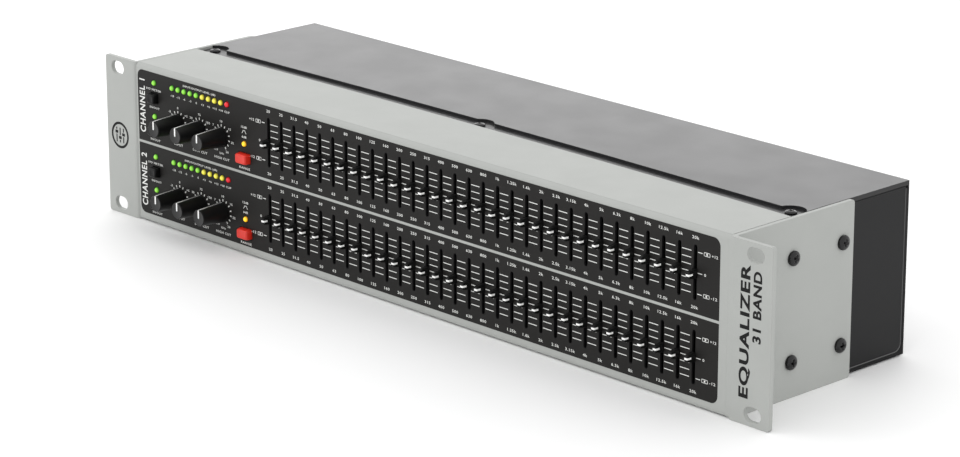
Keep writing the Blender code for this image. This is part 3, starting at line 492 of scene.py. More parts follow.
def make_lamp(name, colour, deep, strength):
    """Tinted lens, lit from inside where its glow attribute is high."""
    material = make_finish(name, deep, 0.22, specular=0.6, variation=0.04, patch=2.0, relief=0.004)
    tree = material.node_tree
    shader = tree.nodes["Principled BSDF"]
    glow = add_node(tree, "Attribute", attribute_name="glow").outputs["Fac"]
    shader.inputs["Emission Color"].default_value = (*colour, 1.0)
    tree.links.new(spread(tree, glow, 0.0, strength, 0.3, 1.0), shader.inputs["Emission Strength"])
    return material


SILVER = tone(168, 170, 167)
BLACK = tone(34, 34, 35)
FINISHES = {
    "silver_paint": make_finish("silver_paint", SILVER, 0.55, specular=0.2, variation=0.02, relief=0.02),
    "panel_paint": make_finish("panel_paint", SILVER, 0.55, specular=0.2, variation=0.02, relief=0.02),
    "black_paint": make_finish("black_paint", BLACK, 0.33, specular=0.35, variation=0.05, patch=60.0),
    "tray_paint": make_finish("tray_paint", tone(25, 25, 26), 0.4, specular=0.18, variation=0.05,
                              patch=60.0),
    "black_print": make_finish("black_print", tone(31, 30, 29), 0.5, specular=0.15, variation=0.04),
    "white_ink": make_finish("white_ink", tone(222, 223, 220), 0.55, variation=0.03, patch=6.0),
    "dark_ink": make_finish("dark_ink", tone(20, 20, 20), 0.5, specular=0.15, variation=0.05, patch=6.0),
    "black_plastic": make_finish("black_plastic", tone(15, 15, 15), 0.4, specular=0.2, grain=0.25),
    "knob_face": make_finish("knob_face", tone(52, 52, 52), 0.5, specular=0.2, grain=0.25),
    "red_plastic": make_finish("red_plastic", tone(222, 44, 28), 0.32, specular=0.5, grain=0.3),
    "pointer_white": make_finish("pointer_white", tone(250, 250, 248), 0.4, variation=0.02, patch=3.0),
    "black_screw": make_finish("black_screw", tone(13, 13, 14), 0.25, 0.2, grain=0.2, uneven=0.05),
    "nickel": make_finish("nickel", tone(190, 188, 184), 0.28, 1.0, patch=8.0, relief=0.004),
    "bright_nickel": make_finish("bright_nickel", tone(214, 208, 196), 0.2, 1.0, patch=4.0, relief=0.002),
    # Side rims: darker than the tray as a painted reflection of the dark bend, with a glossy slope
    # painted lighter as a highlight.
    "rim_dark_reflection": make_finish("rim_dark_reflection", tone(17, 17, 18), 0.4, specular=0.15, variation=0.05),
    "gloss_edge_highlight": make_finish("gloss_edge_highlight", tone(46, 46, 47), 0.2, specular=0.9, variation=0.05),
    "board": make_finish("board", tone(18, 74, 42), 0.4, variation=0.1, patch=5.0),
    "pot_board": make_finish("pot_board", tone(18, 74, 42), 0.4, variation=0.1, patch=5.0),
    "laminations": make_finish(
        "laminations", tone(96, 88, 80), 0.45, 0.7, grain=0.5, relief=0.08, stretch=(1.0, 0.02, 0.02)
    ),
    "carrier": make_finish("carrier", tone(28, 28, 28), 0.5),
    "green_lamp": make_lamp("green_lamp", tone(190, 255, 90), tone(54, 150, 24), 0.62),
    "yellow_lamp": make_lamp("yellow_lamp", tone(255, 250, 110), tone(178, 166, 14), 0.62),
    "red_lamp": make_lamp("red_lamp", tone(255, 60, 80), tone(200, 4, 14), 0.35),
    "amber_lamp": make_lamp("amber_lamp", tone(255, 225, 50), tone(232, 160, 4), 0.85),
}


def finishes(*names):
    return [FINISHES[name] for name in names]


# ---- Print on the front panel ----
def lamp_places(channel):
    """Lamps of a channel: place and finish."""
    middle = CHANNEL_Z[channel]
    colours = ["green_lamp"] * 5 + ["yellow_lamp"] * 4 + ["red_lamp"]
    places = [
        (METER_FIRST_X + METER_PITCH * index, middle + METER_LINE, colour)
        for index, colour in enumerate(colours)
    ]
    places.append((STATUS_X, middle + METER_LINE, "green_lamp"))
    places.append((STATUS_X, middle + DIAL_LINE, "green_lamp"))
    places.append((RANGE_X, middle + DIAL_LINE, "amber_lamp"))
    return places


def zone_heights(channel):
    """Lowest and highest edge of a channel's black print."""
    divider = sum(CHANNEL_Z.values()) / 2
    if channel == "1":
        return divider + DIVIDER / 2, HEIGHT - PRINT_MARGIN_TOP
    return PRINT_MARGIN_BOTTOM, divider - DIVIDER / 2


def make_printed_zone(channel):
    """Black print of a channel with openings for everything that comes through the panel."""
    low, high = zone_heights(channel)
    radii = (0, 0, PRINT_CORNER, PRINT_CORNER) if channel == "1" else (PRINT_CORNER, PRINT_CORNER, 0, 0)
    sides = (BODY_LEFT + PRINT_MARGIN_LEFT, BODY_RIGHT - PRINT_MARGIN_RIGHT)
    outlines = [rounded(sides, (low, high), radii, 8)]
    middle = CHANNEL_Z[channel]
    outlines += [rounded_box(x, middle, *SLOT, SLOT[0] / 2 - 0.01) for x in BAND_X]
    outlines += [circle(x, z, LAMP_RADIUS + LAMP_CLEARANCE, 20) for x, z, _ in lamp_places(channel)]
    for knob in KNOBS:
        place = node_middle(f"knob_{knob}_{channel}")
        outlines.append(circle(place.x, place.z, KNOB_HOLE, 24))
    for button in ("meter", "bypass", "range"):
        box_low, box_high = node_box(f"button_{button}_{channel}")
        size = box_high - box_low
        centre = (box_low + box_high) / 2
        opening = (size.x + BUTTON_CLEARANCE, size.z + BUTTON_CLEARANCE)
        outlines.append(rounded_box(centre.x, centre.z, *opening, 0.6))
    shape = bmesh.new()
    add_plate(shape, outlines, front_plane(FACE), PRINT)
    add_piece(f"printed_zone_{channel}", to_mesh(shape, "printed_zone"), "case",
              finishes("black_print"))


def add_dial(shape, plane, centre, numbers):
    """Marks round a knob, and its numbers."""
    x, z = centre
    for angle in range(-DIAL_SWEEP, DIAL_SWEEP + 1, DIAL_STEP):
        turn = math.radians(angle)
        place = (x + DIAL_MARK_RADIUS * math.sin(turn), z + DIAL_MARK_RADIUS * math.cos(turn))
        add_mark(shape, plane, place, DIAL_MARK_SIZE, -angle)
    for angle, number in numbers.items():
        turn = math.radians(angle)
        reach = DIAL_NUMBER_REACH + DIAL_NUMBER_GROWTH * (len(number) - 1)
        place = (x + reach * math.sin(turn), z + DIAL_NUMBER_RISE * math.cos(turn))
        add_words(shape, number, plane, place, DIAL_LETTER)


def add_meter_legend(shape, plane, middle):
    """Title above the level meter and a level under each of its lamps."""
    title_x = METER_FIRST_X + METER_PITCH * (len(LEVELS) - 1) / 2
    title_z = middle + METER_TITLE_RISE
    add_words(shape, "INPUT/OUTPUT LEVEL (dB)", plane, (title_x, title_z), TITLE_LETTER,
              METER_TITLE_LENGTH)
    for index, level in enumerate(LEVELS):
        place = (METER_FIRST_X + METER_PITCH * index, middle + LEVEL_RISE)
        add_words(shape, level, plane, place, LEVEL_LETTER)


def add_button_legend(shape, plane, middle):
    """Words beside the buttons and the range symbol."""
    for text, x, rise, height, length in BUTTON_WORDS:
        add_words(shape, text, plane, (x, middle + rise), height, length)
    add_range_curve(shape, plane, (RANGE_X, middle + 1.7))


def add_range_curve(shape, plane, place):
    """Small symbol of a response curve: two slopes and a flat top."""
    x, z = place
    for side in (-1, 1):
        add_mark(shape, plane, (x + 1.1 * side, z), (0.3, 1.9), 35 * side)
    add_mark(shape, plane, (x, z + 0.8), (1.7, 0.3))


def add_frame(shape, plane, place, size, line=0.28):
    """Outline of a small rectangle."""
    x, y = place
    width, height = size
    for side in (-1, 1):
        add_mark(shape, plane, (x + side * (width - line) / 2, y), (line, height))
        add_mark(shape, plane, (x, y + side * (height - line) / 2), (width, line))


def add_scale_end(shape, plane, x, middle, side):
    """Range symbol and numbers beside the first (side -1) or the last fader (side 1)."""
    symbol_reach, number_reach, zero_reach = SCALE_END_REACHES[side]
    for way in (-1, 1):
        level = middle + way * TICK_STEP * TICKS_EACH_WAY
        symbol = (x + side * symbol_reach, level)
        add_frame(shape, plane, symbol, SCALE_SYMBOL_SIZE)
        add_mark(shape, plane, symbol, SCALE_DOT_SIZE)
        number = "+12" if way > 0 else "-12"
        place = (x + side * number_reach, level)
        add_words(shape, number, plane, place, SCALE_LETTER, SCALE_NUMBER_LENGTH)
        if side < 0:
            add_mark(shape, plane, (x - FIRST_TICK_INSET, level), FIRST_TICK_SIZE)
    add_words(shape, "0", plane, (x + side * zero_reach, middle), SCALE_LETTER)


def add_fader_legend(shape, plane, middle):
    """Frequencies above and below the faders, and the scale's marks between them."""
    ways = range(-TICKS_EACH_WAY, TICKS_EACH_WAY + 1)
    for x, band in zip(BAND_X, BANDS):
        last = x == BAND_X[-1]
        for step in ways:
            level = middle + step * TICK_STEP
            if not last:
                add_mark(shape, plane, (x + TICK_OFFSET, level), TICK_SIZE)
            elif step % TICKS_EACH_WAY == 0:
                add_mark(shape, plane, (x + LAST_TICK_OFFSET, level), LAST_TICK_SIZE)
        for way in (-1, 1):
            add_words(shape, band, plane, (x, middle + BAND_WORDS_REACH * way), BAND_LETTER)
    add_scale_end(shape, plane, BAND_X[0], middle, -1)
    add_scale_end(shape, plane, BAND_X[-1], middle, 1)


def make_legend(channel):
    """All white lettering of a channel."""
    plane = front_plane(FACE - PRINT)
    middle = CHANNEL_Z[channel]
    shape = bmesh.new()
    inset, rise = CHANNEL_WORDS_PLACE
    place = (BODY_LEFT + inset, middle + rise)
    add_words(shape, f"CHANNEL {channel}", plane, place, CHANNEL_LETTER, CHANNEL_WORDS_LENGTH, 90,
              bold=0.02)
    add_meter_legend(shape, plane, middle)
    add_button_legend(shape, plane, middle)
    for knob in KNOBS:
        centre = node_middle(f"knob_{knob}_{channel}")
        add_dial(shape, plane, (centre.x, centre.z), DIALS[knob])
        add_words(shape, KNOB_WORDS[knob], plane, (centre.x, middle + KNOB_WORDS_RISE), KNOB_LETTER)
    high_cut = node_middle(f"knob_high_cut_{channel}").x
    add_words(shape, "kHz", plane, (high_cut, middle + UNIT_RISE), UNIT_LETTER)
    add_fader_legend(shape, plane, middle)
    add_ink(f"legend_{channel}", shape)


def make_ear_legend():
    """Name of the device on the right ear, read from below."""
    plane = front_plane(FACE)
    shape = bmesh.new()
    for words, inset, z, height, length in EAR_WORDS:
        add_words(shape, words, plane, (EAR_RIGHT - inset, z), height, length, turn=90, bold=0.035)
    add_ink("ear_lettering", shape, finish="dark_ink")


def make_emblem():
    """Round emblem on the left ear: a ring around three fader symbols."""
    x, z = EAR_LEFT + 10.9, HEIGHT / 2 + 0.4
    outlines = [circle(x, z, radius, 48) for radius in EMBLEM_RING]
    for across, rise in EMBLEM_FADERS:
        width = around(x + across, EMBLEM_BAR)
        corners = (EMBLEM_BAR * 0.4,) * 4
        outlines.append(rounded_box(x + across, z + rise, *EMBLEM_CAP, 0.4))
        outlines.append(rounded(width, (z - EMBLEM_REACH, z + rise - EMBLEM_BREAK), corners))
        outlines.append(rounded(width, (z + rise + EMBLEM_BREAK, z + EMBLEM_REACH), corners))
    shape = bmesh.new()
    add_plate(shape, outlines, front_plane(FACE), INK)
    add_ink("emblem", shape, finish="dark_ink")


# ---- Faders, knobs, buttons and lamps ----
CAP_SCATTER = 0.45  # how far a cap stands from the middle of its way
LEVER_WIDTH = 0.8
LEVER_HEIGHT = 2.6
CAP_STRIPE = 0.50  # half height of a cap's white line
CAP_SECTIONS = ((-0.3, 1.4, 2.4), (-2.9, 1.2, 2.05), (-5.0, 1.08, 1.72), (-5.4, 0.85, 1.45))


def cap_ring(x, z, depth, half_width, half_height):
    """Ring of a fader cap with its corners cut and points at both edges of the white line."""
    cut = 0.25
    right = [(half_width, -CAP_STRIPE), (half_width, CAP_STRIPE), (half_width, half_height - cut)]
    top = [(half_width - cut, half_height), (cut - half_width, half_height)]
    points = [(half_width - cut, -half_height), (half_width, cut - half_height), *right, *top]
    points += [(-half_width, half_height - cut), (-half_width, CAP_STRIPE), (-half_width, -CAP_STRIPE)]
    points += [(-half_width, cut - half_height), (cut - half_width, -half_height)]
    return [(x + across, FACE + depth, z + up) for across, up in points]


def add_cap(shape, x, z):
    """Fader cap that narrows towards the hand, with a white line over its front and its sides."""
    rings = []
    for section in CAP_SECTIONS:
        rings.append([shape.verts.new(point) for point in cap_ring(x, z, *section)])
    stripe_right, stripe_left = 2, 8
    for layer, (first, second) in enumerate(zip(rings, rings[1:])):
        for index in range(len(first)):
            following = (index + 1) % len(first)
            face = shape.faces.new((first[index], second[index], second[following], first[following]))
            in_stripe = index in (stripe_right, stripe_left)
            face.material_index = 1 if in_stripe and layer > 0 else 0
    shape.faces.new(rings[0])
    front = rings[-1]
    shape.faces.new([front[index] for index in (11, 0, 1, 2, 9, 10)])
    stripe = shape.faces.new([front[index] for index in (2, 3, 8, 9)])
    stripe.material_index = 1
    shape.faces.new([front[index] for index in (3, 4, 5, 6, 7, 8)])


def make_fader_pairs():
    """Both caps of a band with the flat levers that run through the slots."""
    chance = random.Random(31)
    for node, x in zip(FADERS, BAND_X):
        shape = bmesh.new()
        rear = node_box(node)[1].y
        for channel in CHANNELS:
            z = CHANNEL_Z[channel] + chance.uniform(-CAP_SCATTER, CAP_SCATTER)
            add_cap(shape, x, z)
            sections = [
                [(px, depth, pz) for px, pz in rounded_box(x, z, width, LEVER_HEIGHT, 0.2, 2)]
                for depth, width in ((FACE - 1.0, LEVER_WIDTH), (rear - 1.0, LEVER_WIDTH), (rear, 0.5))
            ]
            add_loft(shape, sections)
        piece = add_piece(f"{node}_caps", to_mesh(shape, "caps", 20), node,
                          finishes("black_plastic", "pointer_white"))
        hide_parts(node)


KNOB_TIP_RADIUS = 4.4
KNOB_BASE_RADIUS = 5.45
KNOB_SHAFT_RADIUS = 2.9
KNOB_POINTER = (0.45, 0.2)  # half width, reach below the axis
KNOB_LINE = (0.36, 0.13, 0.09)  # half widths at the tip, further back, at the base


def make_knob(node):
    """Long tapering knob with a grey front, a white pointer and its shaft."""
    low, high = node_box(node)
    centre = ((low.x + high.x) / 2, (low.z + high.z) / 2)
    front = low.y + 0.05
    base = FACE - 0.45
    tip = KNOB_TIP_RADIUS
    profile = [
        (front + 0.12, 0.0), (front + 0.12, tip - 0.75), (front, tip - 0.55),
        (front, tip - 0.25), (front + 0.3, tip), (base - 0.4, KNOB_BASE_RADIUS - 0.02),
        (base, KNOB_BASE_RADIUS - 0.3), (base, 3.4), (base - 3.0, 3.2),
        (base - 3.0, KNOB_SHAFT_RADIUS), (high.y - 0.4, KNOB_SHAFT_RADIUS), (high.y, 2.5),
        (high.y, 0.0),
    ]
    shape = bmesh.new()
    for face in add_turned(shape, profile, centre, 48):
        if all(vertex.co.y < front + 0.2 for vertex in face.verts):
            face.material_index = 1
    paint_faces(add_knob_pointer(shape, centre, front), 2)
    paint_faces(add_knob_line(shape, centre, front, base), 2)
    piece = add_piece(f"{node}_body", to_mesh(shape, "knob"), node,
                      finishes("black_plastic", "knob_face", "pointer_white"))
    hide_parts(node)


def add_knob_pointer(shape, centre, front):
    """White pointer on the knob's front."""
    x, z = centre
    half, below = KNOB_POINTER
    outline = rounded((x - half, x + half), (z - below, z + KNOB_TIP_RADIUS - 0.15), (0.3,) * 4)
    return add_loft(shape, [
        [(px, depth, pz) for px, pz in outline] for depth in (front + 0.2, front - 0.04)
    ])


def add_knob_line(shape, centre, front, base):
    """White line along the knob's upper side, which thins towards the panel."""
    x, z = centre
    stations = zip(
        KNOB_LINE, (front + 0.2, front + 6.5, base - 0.5),
        (KNOB_TIP_RADIUS - 0.05, 4.8, KNOB_BASE_RADIUS - 0.05),
    )
    sections = []
    for half, depth, radius in stations:
        under, over = z + radius - 0.1, z + radius + 0.04
        sections.append([
            (x - half, depth, under), (x + half, depth, under),
            (x + half, depth, over), (x - half, depth, over),
        ])
    return add_loft(shape, sections)


def make_button(node):
    """Push button with rounded edges and a shallow dish, on its square stem."""
    low, high = node_box(node)
    centre = (low + high) / 2
    width = high.x - low.x
    height = high.z - low.z
    front = low.y
    taper = 1.0 if "range" in node else 0.3
    sections = [
        (high.y, 2.2, 2.2, 0.3), (high.y - 0.4, 2.9, 2.9, 0.4), (FACE + 1.6, 3.0, 3.0, 0.4),
        (FACE + 1.5, width - 0.3, height - 0.3, 0.5), (FACE + 1.2, width, height, 0.6),
        (front + 0.9, width - taper, height - 0.3, 0.9),
        (front + 0.3, width - taper - 0.3, height - 0.6, 1.0),
        (front + 0.05, width - taper - 0.9, height - 1.2, 1.0),
        (front, width - taper - 1.5, height - 1.8, 1.0),
        (front + 0.12, width - taper - 2.6, height - 2.7, 0.9),
        (front + 0.18, width - taper - 3.6, height - 3.6, 0.6),
    ]
    shape = bmesh.new()
    add_loft(shape, [
        [(x, depth, z) for x, z in rounded_box(centre.x, centre.z, wide, tall, radius, 5)]
        for depth, wide, tall, radius in sections
    ])
    colour = "red_plastic" if "range" in node else "black_plastic"
    piece = add_piece(f"{node}_cap", to_mesh(shape, "button", 50), node, finishes(colour))
    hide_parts(node)


CARRIER_WIDTH = 3.6
CARRIER_DEPTH = 1.6
GLOW_END = 0.4  # behind the face
GLOW_FADE = 1.6


def dome_profile(front, rear, radius, steps=6):
    """Round-nosed lamp from its tip to its rear."""
    nose = radius * 0.95
    profile = [
        (front + nose * (1 - math.cos(math.pi / 2 * step / steps)),
         radius * math.sin(math.pi / 2 * step / steps))
        for step in range(steps + 1)
    ]
    return profile + [(rear - 1.0, radius), (rear - 0.9, radius + 0.3), (rear, radius + 0.3)]


def make_lamps():
    """Lamps of both channels and the carriers that hold them behind the panel."""
    low, high = node_box("lamp_strips")
    colours = ("carrier", "green_lamp", "yellow_lamp", "red_lamp", "amber_lamp")
    shape = bmesh.new()
    for channel in CHANNELS:
        middle = CHANNEL_Z[channel]
        for x, z, colour in lamp_places(channel):
            profile = dome_profile(low.y, high.y - 1.5, LAMP_RADIUS - 0.05)
            paint_faces(add_turned(shape, profile, (x, z), 20), colours.index(colour))
        rails = [((low.x, high.x), around(middle + METER_LINE, CARRIER_WIDTH))]
        upright = (middle + DIAL_LINE - 2.0, middle + METER_LINE)
        rails += [(around(x, CARRIER_WIDTH), upright) for x in (STATUS_X, RANGE_X)]
        for x_range, z_range in rails:
            outline = rounded(x_range, z_range, (0.4,) * 4, 2)
            add_prism(shape, outline, "Y", high.y - CARRIER_DEPTH, high.y)
    mesh = to_mesh(shape, "lamps", 30)
    glow = mesh.attributes.new("glow", "FLOAT", "POINT")
    for vertex, value in zip(mesh.vertices, glow.data):
        value.value = min(max((FACE + GLOW_END - vertex.co.y / MM) / GLOW_FADE, 0.0), 1.0)
    piece = add_piece("lamps", mesh, "case", finishes(*colours))
    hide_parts("lamp_strips")


# ---- Screws ----
HEAD_STEPS = 6
RECESS_SHARES = (0.66, 0.3, 0.17)  # reach outside and inside, half width of an arm


def make_screw_mesh(name, radius, height, finish):
    """Pan head with a cross recess; its axis is Y and it faces -Y from the origin."""
    shape = bmesh.new()
    profile = [(-height, 0.0)]
    for step in range(1, HEAD_STEPS + 1):
        angle = math.pi / 2 * step / HEAD_STEPS
        profile.append((-height * (0.35 + 0.65 * math.cos(angle)), radius * math.sin(angle) ** 0.8))
    profile += [(-height * 0.2, radius), (0.0, radius - 0.15), (0.0, 0.0)]
    add_turned(shape, profile, (0.0, 0.0), 32)
    head = bpy.data.objects.new("head", to_mesh(shape, "head"))
    bpy.context.scene.collection.objects.link(head)
    arms = []
    wide, narrow, half = (radius * share for share in RECESS_SHARES)
    for turn in (0, 90):
        cutter = bmesh.new()
        add_loft(cutter, [
            [(x * reach, depth, y) for x, y in ((-1, -half), (1, -half), (1, half), (-1, half))]
            for depth, reach in ((-height - 1.0, wide), (-height * 0.25, narrow))
        ])
        arm = bpy.data.objects.new("arm", to_mesh(cutter, "arm"))
        bpy.context.scene.collection.objects.link(arm)
        arm.rotation_euler.y = math.radians(turn)
        boolean = head.modifiers.new("recess", "BOOLEAN")
        boolean.operation = "DIFFERENCE"
        boolean.object = arm
        arms.append(arm)
    bpy.context.view_layer.update()
    evaluated = head.evaluated_get(bpy.context.evaluated_depsgraph_get())
    mesh = bpy.data.meshes.new_from_object(evaluated)
    mesh.name = name
    mesh.materials.clear()
    mesh.materials.append(FINISHES[finish])
    for leftover in (head, *arms):
        bpy.data.objects.remove(leftover)
    return mesh


def place_screw(name, mesh, place, outwards, turn):
    """Screw head at a place in millimetres, with its head facing outwards."""
    facing = Vector((0, -1, 0)).rotation_difference(Vector(outwards)).to_matrix().to_4x4()
    spin = Matrix.Rotation(math.radians(turn), 4, "Y")
    add_piece(name, mesh, "case", [], Matrix.Translation(Vector(place) * MM) @ facing @ spin)


def make_screws():
    """Screws of the brackets, the cover's pockets and the rear wall."""
    chance = random.Random(8)
    side_head = make_screw_mesh("side_screw", *SIDE_SCREW_HEAD, "black_screw")
    cover_head = make_screw_mesh("cover_screw", *COVER_SCREW_HEAD, "black_screw")
    bracket_side = {
        -1: node_box("left_rack_bracket")[1].x - BRACKET_SHEET,
        1: node_box("right_rack_bracket")[0].x + BRACKET_SHEET,
    }
    for side, x in bracket_side.items():
        for column, y in enumerate(SIDE_SCREW_Y):
            for row, z in enumerate(SIDE_SCREW_Z):
                place_screw(f"bracket_screw_{'right' if side > 0 else 'left'}_{column}{row}", side_head,
                            (x, y, z), (side, 0, 0), chance.uniform(0, 90))
    for index, x in enumerate(COVER_SCREW_X):
        place_screw(f"cover_screw_{index}", cover_head, (x, *COVER_SCREW_PLACE), (0, 0, 1),
                    chance.uniform(0, 90))
    plate_rear = node_box("rear_plate")[1].y
    for column, x in enumerate(REAR_SCREW_X):
        for row, z in enumerate(REAR_SCREW_Z):
            place_screw(f"rear_screw_{column}{row}", cover_head, (x, plate_rear, z), (0, 1, 0),
                        chance.uniform(0, 90))


# ---- Rear panel and sides ----
CONNECTOR_Z = node_middle("power_rocker").z
PLATE_REAR = node_box("rear_plate")[1].y
FLANGE_FRONT = PLATE_REAR + 0.3
FLANGE_REAR = node_box("balanced_connectors_1")[1].y
BALANCED_HALF = 13.0  # half width of a balanced connector's flange
BALANCED_SCREW = (9.6, 12.2)
CONTACT_CIRCLE = 4.9
CONTACT_ANGLES = (30, 150, 270)
CONTACT_RADIUS = 1.3
CONTACT_LENGTH = 12.0
CONTACT_DEPTH = 2.4
JACK_HALF = 9.0  # half width that a jack takes
INLET_PINS = ((0.0, 2.0), (-7.0, -2.0), (7.0, -2.0))
INLET_PIN_SIZE = (2.2, 4.2)
INLET_PIN_DEPTHS = (12.0, 2.2)
INLET_X = node_box("power_entry")[1].x - 15.5
REAR_TITLE_LETTER = 2.6
REAR_LETTER = 2.0
JACK_LETTER = 1.7
REAR_TITLE_RISE = 20.2
BALANCED_WORDS_DROP = 18.6
JACK_WORDS_DROP = 12.0
POWER_WORDS_RISE = 15.0
ROCKER_PIVOT = next(
    Vector(joint["pos_m"]) / MM for joint in frame["joints"] if joint["child"] == "power_rocker"
)
ROCKER_TILT = 10.0  # degrees
ROCKER_FALL = 9.2  # slope of each half of the rocker, degrees
ROCKER_MARK = (3.9, 2.85)  # along and out from the pivot
RIM_WIDTH = 2.4
RIM_HEIGHT = 0.25
RIM_CORNER = 4.0
RIM_STEPS = 6
RIM_SLOPE = 0.35


def pair_middles(node, half):
    """Middles of a node's two connectors, the one on the right as seen from the front first."""
    low, high = node_box(node)
    return high.x - half, low.x + half


def make_rear_legend():
    """Words on the rear panel; a drawing on it runs from right to left."""
    plane = rear_plane(PLATE_REAR)
    shape = bmesh.new()
    for channel in CHANNELS:
        balanced = pair_middles(f"balanced_connectors_{channel}", BALANCED_HALF)
        jacks = pair_middles(f"line_jacks_{channel}", JACK_HALF)
        title = -(balanced[0] + jacks[1]) / 2
        place = (title, CONNECTOR_Z + REAR_TITLE_RISE)
        add_words(shape, f"CHANNEL {channel}", plane, place, REAR_TITLE_LETTER)
        for word, wide, narrow in zip(("INPUT", "OUTPUT"), balanced, jacks):
            add_words(shape, word, plane, (-wide, CONNECTOR_Z - BALANCED_WORDS_DROP), REAR_LETTER)
            add_words(shape, word, plane, (-narrow, CONNECTOR_Z - JACK_WORDS_DROP), JACK_LETTER)
    for word, x in (("POWER", node_middle("power_rocker").x), ("AC INPUT", INLET_X)):
        add_words(shape, word, plane, (-x, CONNECTOR_Z + POWER_WORDS_RISE), REAR_LETTER)
    add_ink("rear_legend", shape)


def make_contacts():
    """Bright pins in the balanced plugs and the mains inlet."""
    end = FLANGE_REAR - CONTACT_DEPTH
    start = end - CONTACT_LENGTH
    profile = [
        (start, 0.0), (start, CONTACT_RADIUS), (end - 0.8, CONTACT_RADIUS), (end - 0.2, 0.9), (end, 0.0)
    ]
    shape = bmesh.new()
    for channel in CHANNELS:
        plug_x = pair_middles(f"balanced_connectors_{channel}", BALANCED_HALF)[1]
        for angle in CONTACT_ANGLES:
            turn = math.radians(angle)
            place = (
                plug_x + CONTACT_CIRCLE * math.cos(turn), CONNECTOR_Z + CONTACT_CIRCLE * math.sin(turn)
            )
            add_turned(shape, profile, place, 16)
    for across, up in INLET_PINS:
        outline = rounded_box(INLET_X + across, CONNECTOR_Z + up, *INLET_PIN_SIZE, 0.4)
        add_prism(shape, outline, "Y", *(FLANGE_REAR - depth for depth in INLET_PIN_DEPTHS))
    add_piece("rear_contacts", to_mesh(shape, "rear_contacts"), "case", finishes("bright_nickel"))


def rocker_plane(side):
    """Matrix from a drawing to one of the two sloping halves of the tilted rocker."""
    face = Matrix.Rotation(math.radians(ROCKER_TILT + side * ROCKER_FALL), 4, "Z")
    tilted = Matrix.Rotation(math.radians(ROCKER_TILT), 4, "Z")
    along, out = ROCKER_MARK
    place = ROCKER_PIVOT + tilted @ Vector((side * along, out, 0.0))
    return Matrix.Translation(place) @ face @ rear_plane(0.0)


def make_rocker_marks():
    """White bar and ring on the power switch."""
    shape = bmesh.new()
    add_mark(shape, rocker_plane(-1), (0.0, 0.0), (0.5, 3.4))
    add_plate(shape, [circle(0.0, 0.0, 1.7), circle(0.0, 0.0, 1.25)], rocker_plane(1), INK)
    add_ink("rocker_marks", shape, "power_rocker")


def make_connector_screws():
    """Two screws in opposite corners of each balanced connector's flange."""
    head = make_screw_mesh("flange_screw", *FLANGE_SCREW_HEAD, "black_screw")
    across, up = BALANCED_SCREW
    for channel in CHANNELS:
        for index, x in enumerate(pair_middles(f"balanced_connectors_{channel}", BALANCED_HALF)):
            for way in (-1, 1):
                place_screw(f"flange_screw_{channel}_{index}_{'upper' if way > 0 else 'lower'}", head,
                            (x + way * across, FLANGE_REAR, CONNECTOR_Z + way * up), (0, 1, 0), 45)


def make_seam_filler():
    """Painted filler that closes the seam between the panel and the bend of the right bracket."""
    shape = bmesh.new()
    panel_low, panel_high = node_box("front_panel")
    outline = rounded(
        (FACE + 0.02, FACE + SEAM_BEND), (panel_low.z + 0.1, panel_high.z - 0.1),
        (SEAM_CORNER, 0, 0, SEAM_CORNER),
    )
    start = BODY_RIGHT - 0.1
    end = node_box("right_rack_bracket")[0].x + SEAM_BEND
    add_prism(shape, outline, "X", start, end)
    add_piece("seam_filler", to_mesh(shape, "seam_filler"), "case", finishes("silver_paint"))


def rim_outline(y_range, z_range, width):
    """L along the bottom and the rear edge of the tray's side, with a round inner corner."""
    (y0, y1), (z0, z1) = y_range, z_range
    inner_y = y1 - width
    inner_z = z0 + width
    corner = []
    for step in range(RIM_STEPS + 1):
        angle = math.pi / 2 * step / RIM_STEPS
        corner.append((
            inner_y - RIM_CORNER * (1 - math.cos(angle)), inner_z + RIM_CORNER * (1 - math.sin(angle))
        ))
    return [(y0, z0), (y1, z0), (y1, z1), (inner_y, z1), *corner, (y0, inner_z)]


def make_side_rims():
    """Raised rim at the bends of the tray's sides, painted darker than the tray as the bends' dark
    reflection; its slope is glossy and painted lighter as a highlight.
    """
    low, high = node_box("chassis_tray")
    y_range = (node_box("right_rack_bracket")[1].y + 0.3, high.y - 0.3)
    z_range = (low.z + 0.3, high.z - 1.0)
    for name, face_x, outwards in (("left", low.x, -1), ("right", high.x, 1)):
        shape = bmesh.new()
        sections = [
            [(face_x + outwards * rise, y, z) for y, z in rim_outline(y_range, z_range, width)]
            for rise, width in ((-0.02, RIM_WIDTH), (RIM_HEIGHT, RIM_WIDTH - RIM_SLOPE))
        ]
        faces = add_loft(shape, sections)
        slope = [face for face in faces[2:] if abs(face.calc_center_median().y - y_range[0]) > 0.1]
        paint_faces(slope, 1)
        add_piece(f"side_rim_{name}", to_mesh(shape, "side_rim"), "case",
                  finishes("rim_dark_reflection", "gloss_edge_highlight"))


# ---- Frame nodes that stay ----
NODE_FINISHES = {
    "front_panel": "panel_paint",
    "left_rack_bracket": "silver_paint",
    "right_rack_bracket": "silver_paint",
    "chassis_tray": "tray_paint",
    "top_cover": "black_paint",
    "rear_plate": "black_paint",
    "fader_board": "pot_board",
    "control_board": "board",
    "main_board": "board",
    "power_transformer": "laminations",
    "power_entry": "black_plastic",
    "power_rocker": "black_plastic",
    **{f"{kind}_{channel}": "nickel" for kind in ("balanced_connectors", "line_jacks")
       for channel in CHANNELS},
}
# Dark tone: painted shade in the panel's openings and on the cover's narrow sides; also the dark pot
# bodies and the sockets' dark insides.
SHADE_AND_BODY_DARK = tone(26, 26, 27)
BEND_SHADE_DEPTHS = (1.7, 2.6)  # depths of the bend's end, behind the face
BOARD = 1.8  # thickness of a circuit board
EDGE_RADII = {
    "top_cover": 0.4, "chassis_tray": 0.2, "left_rack_bracket": 0.3, "right_rack_bracket": 0.3,
}


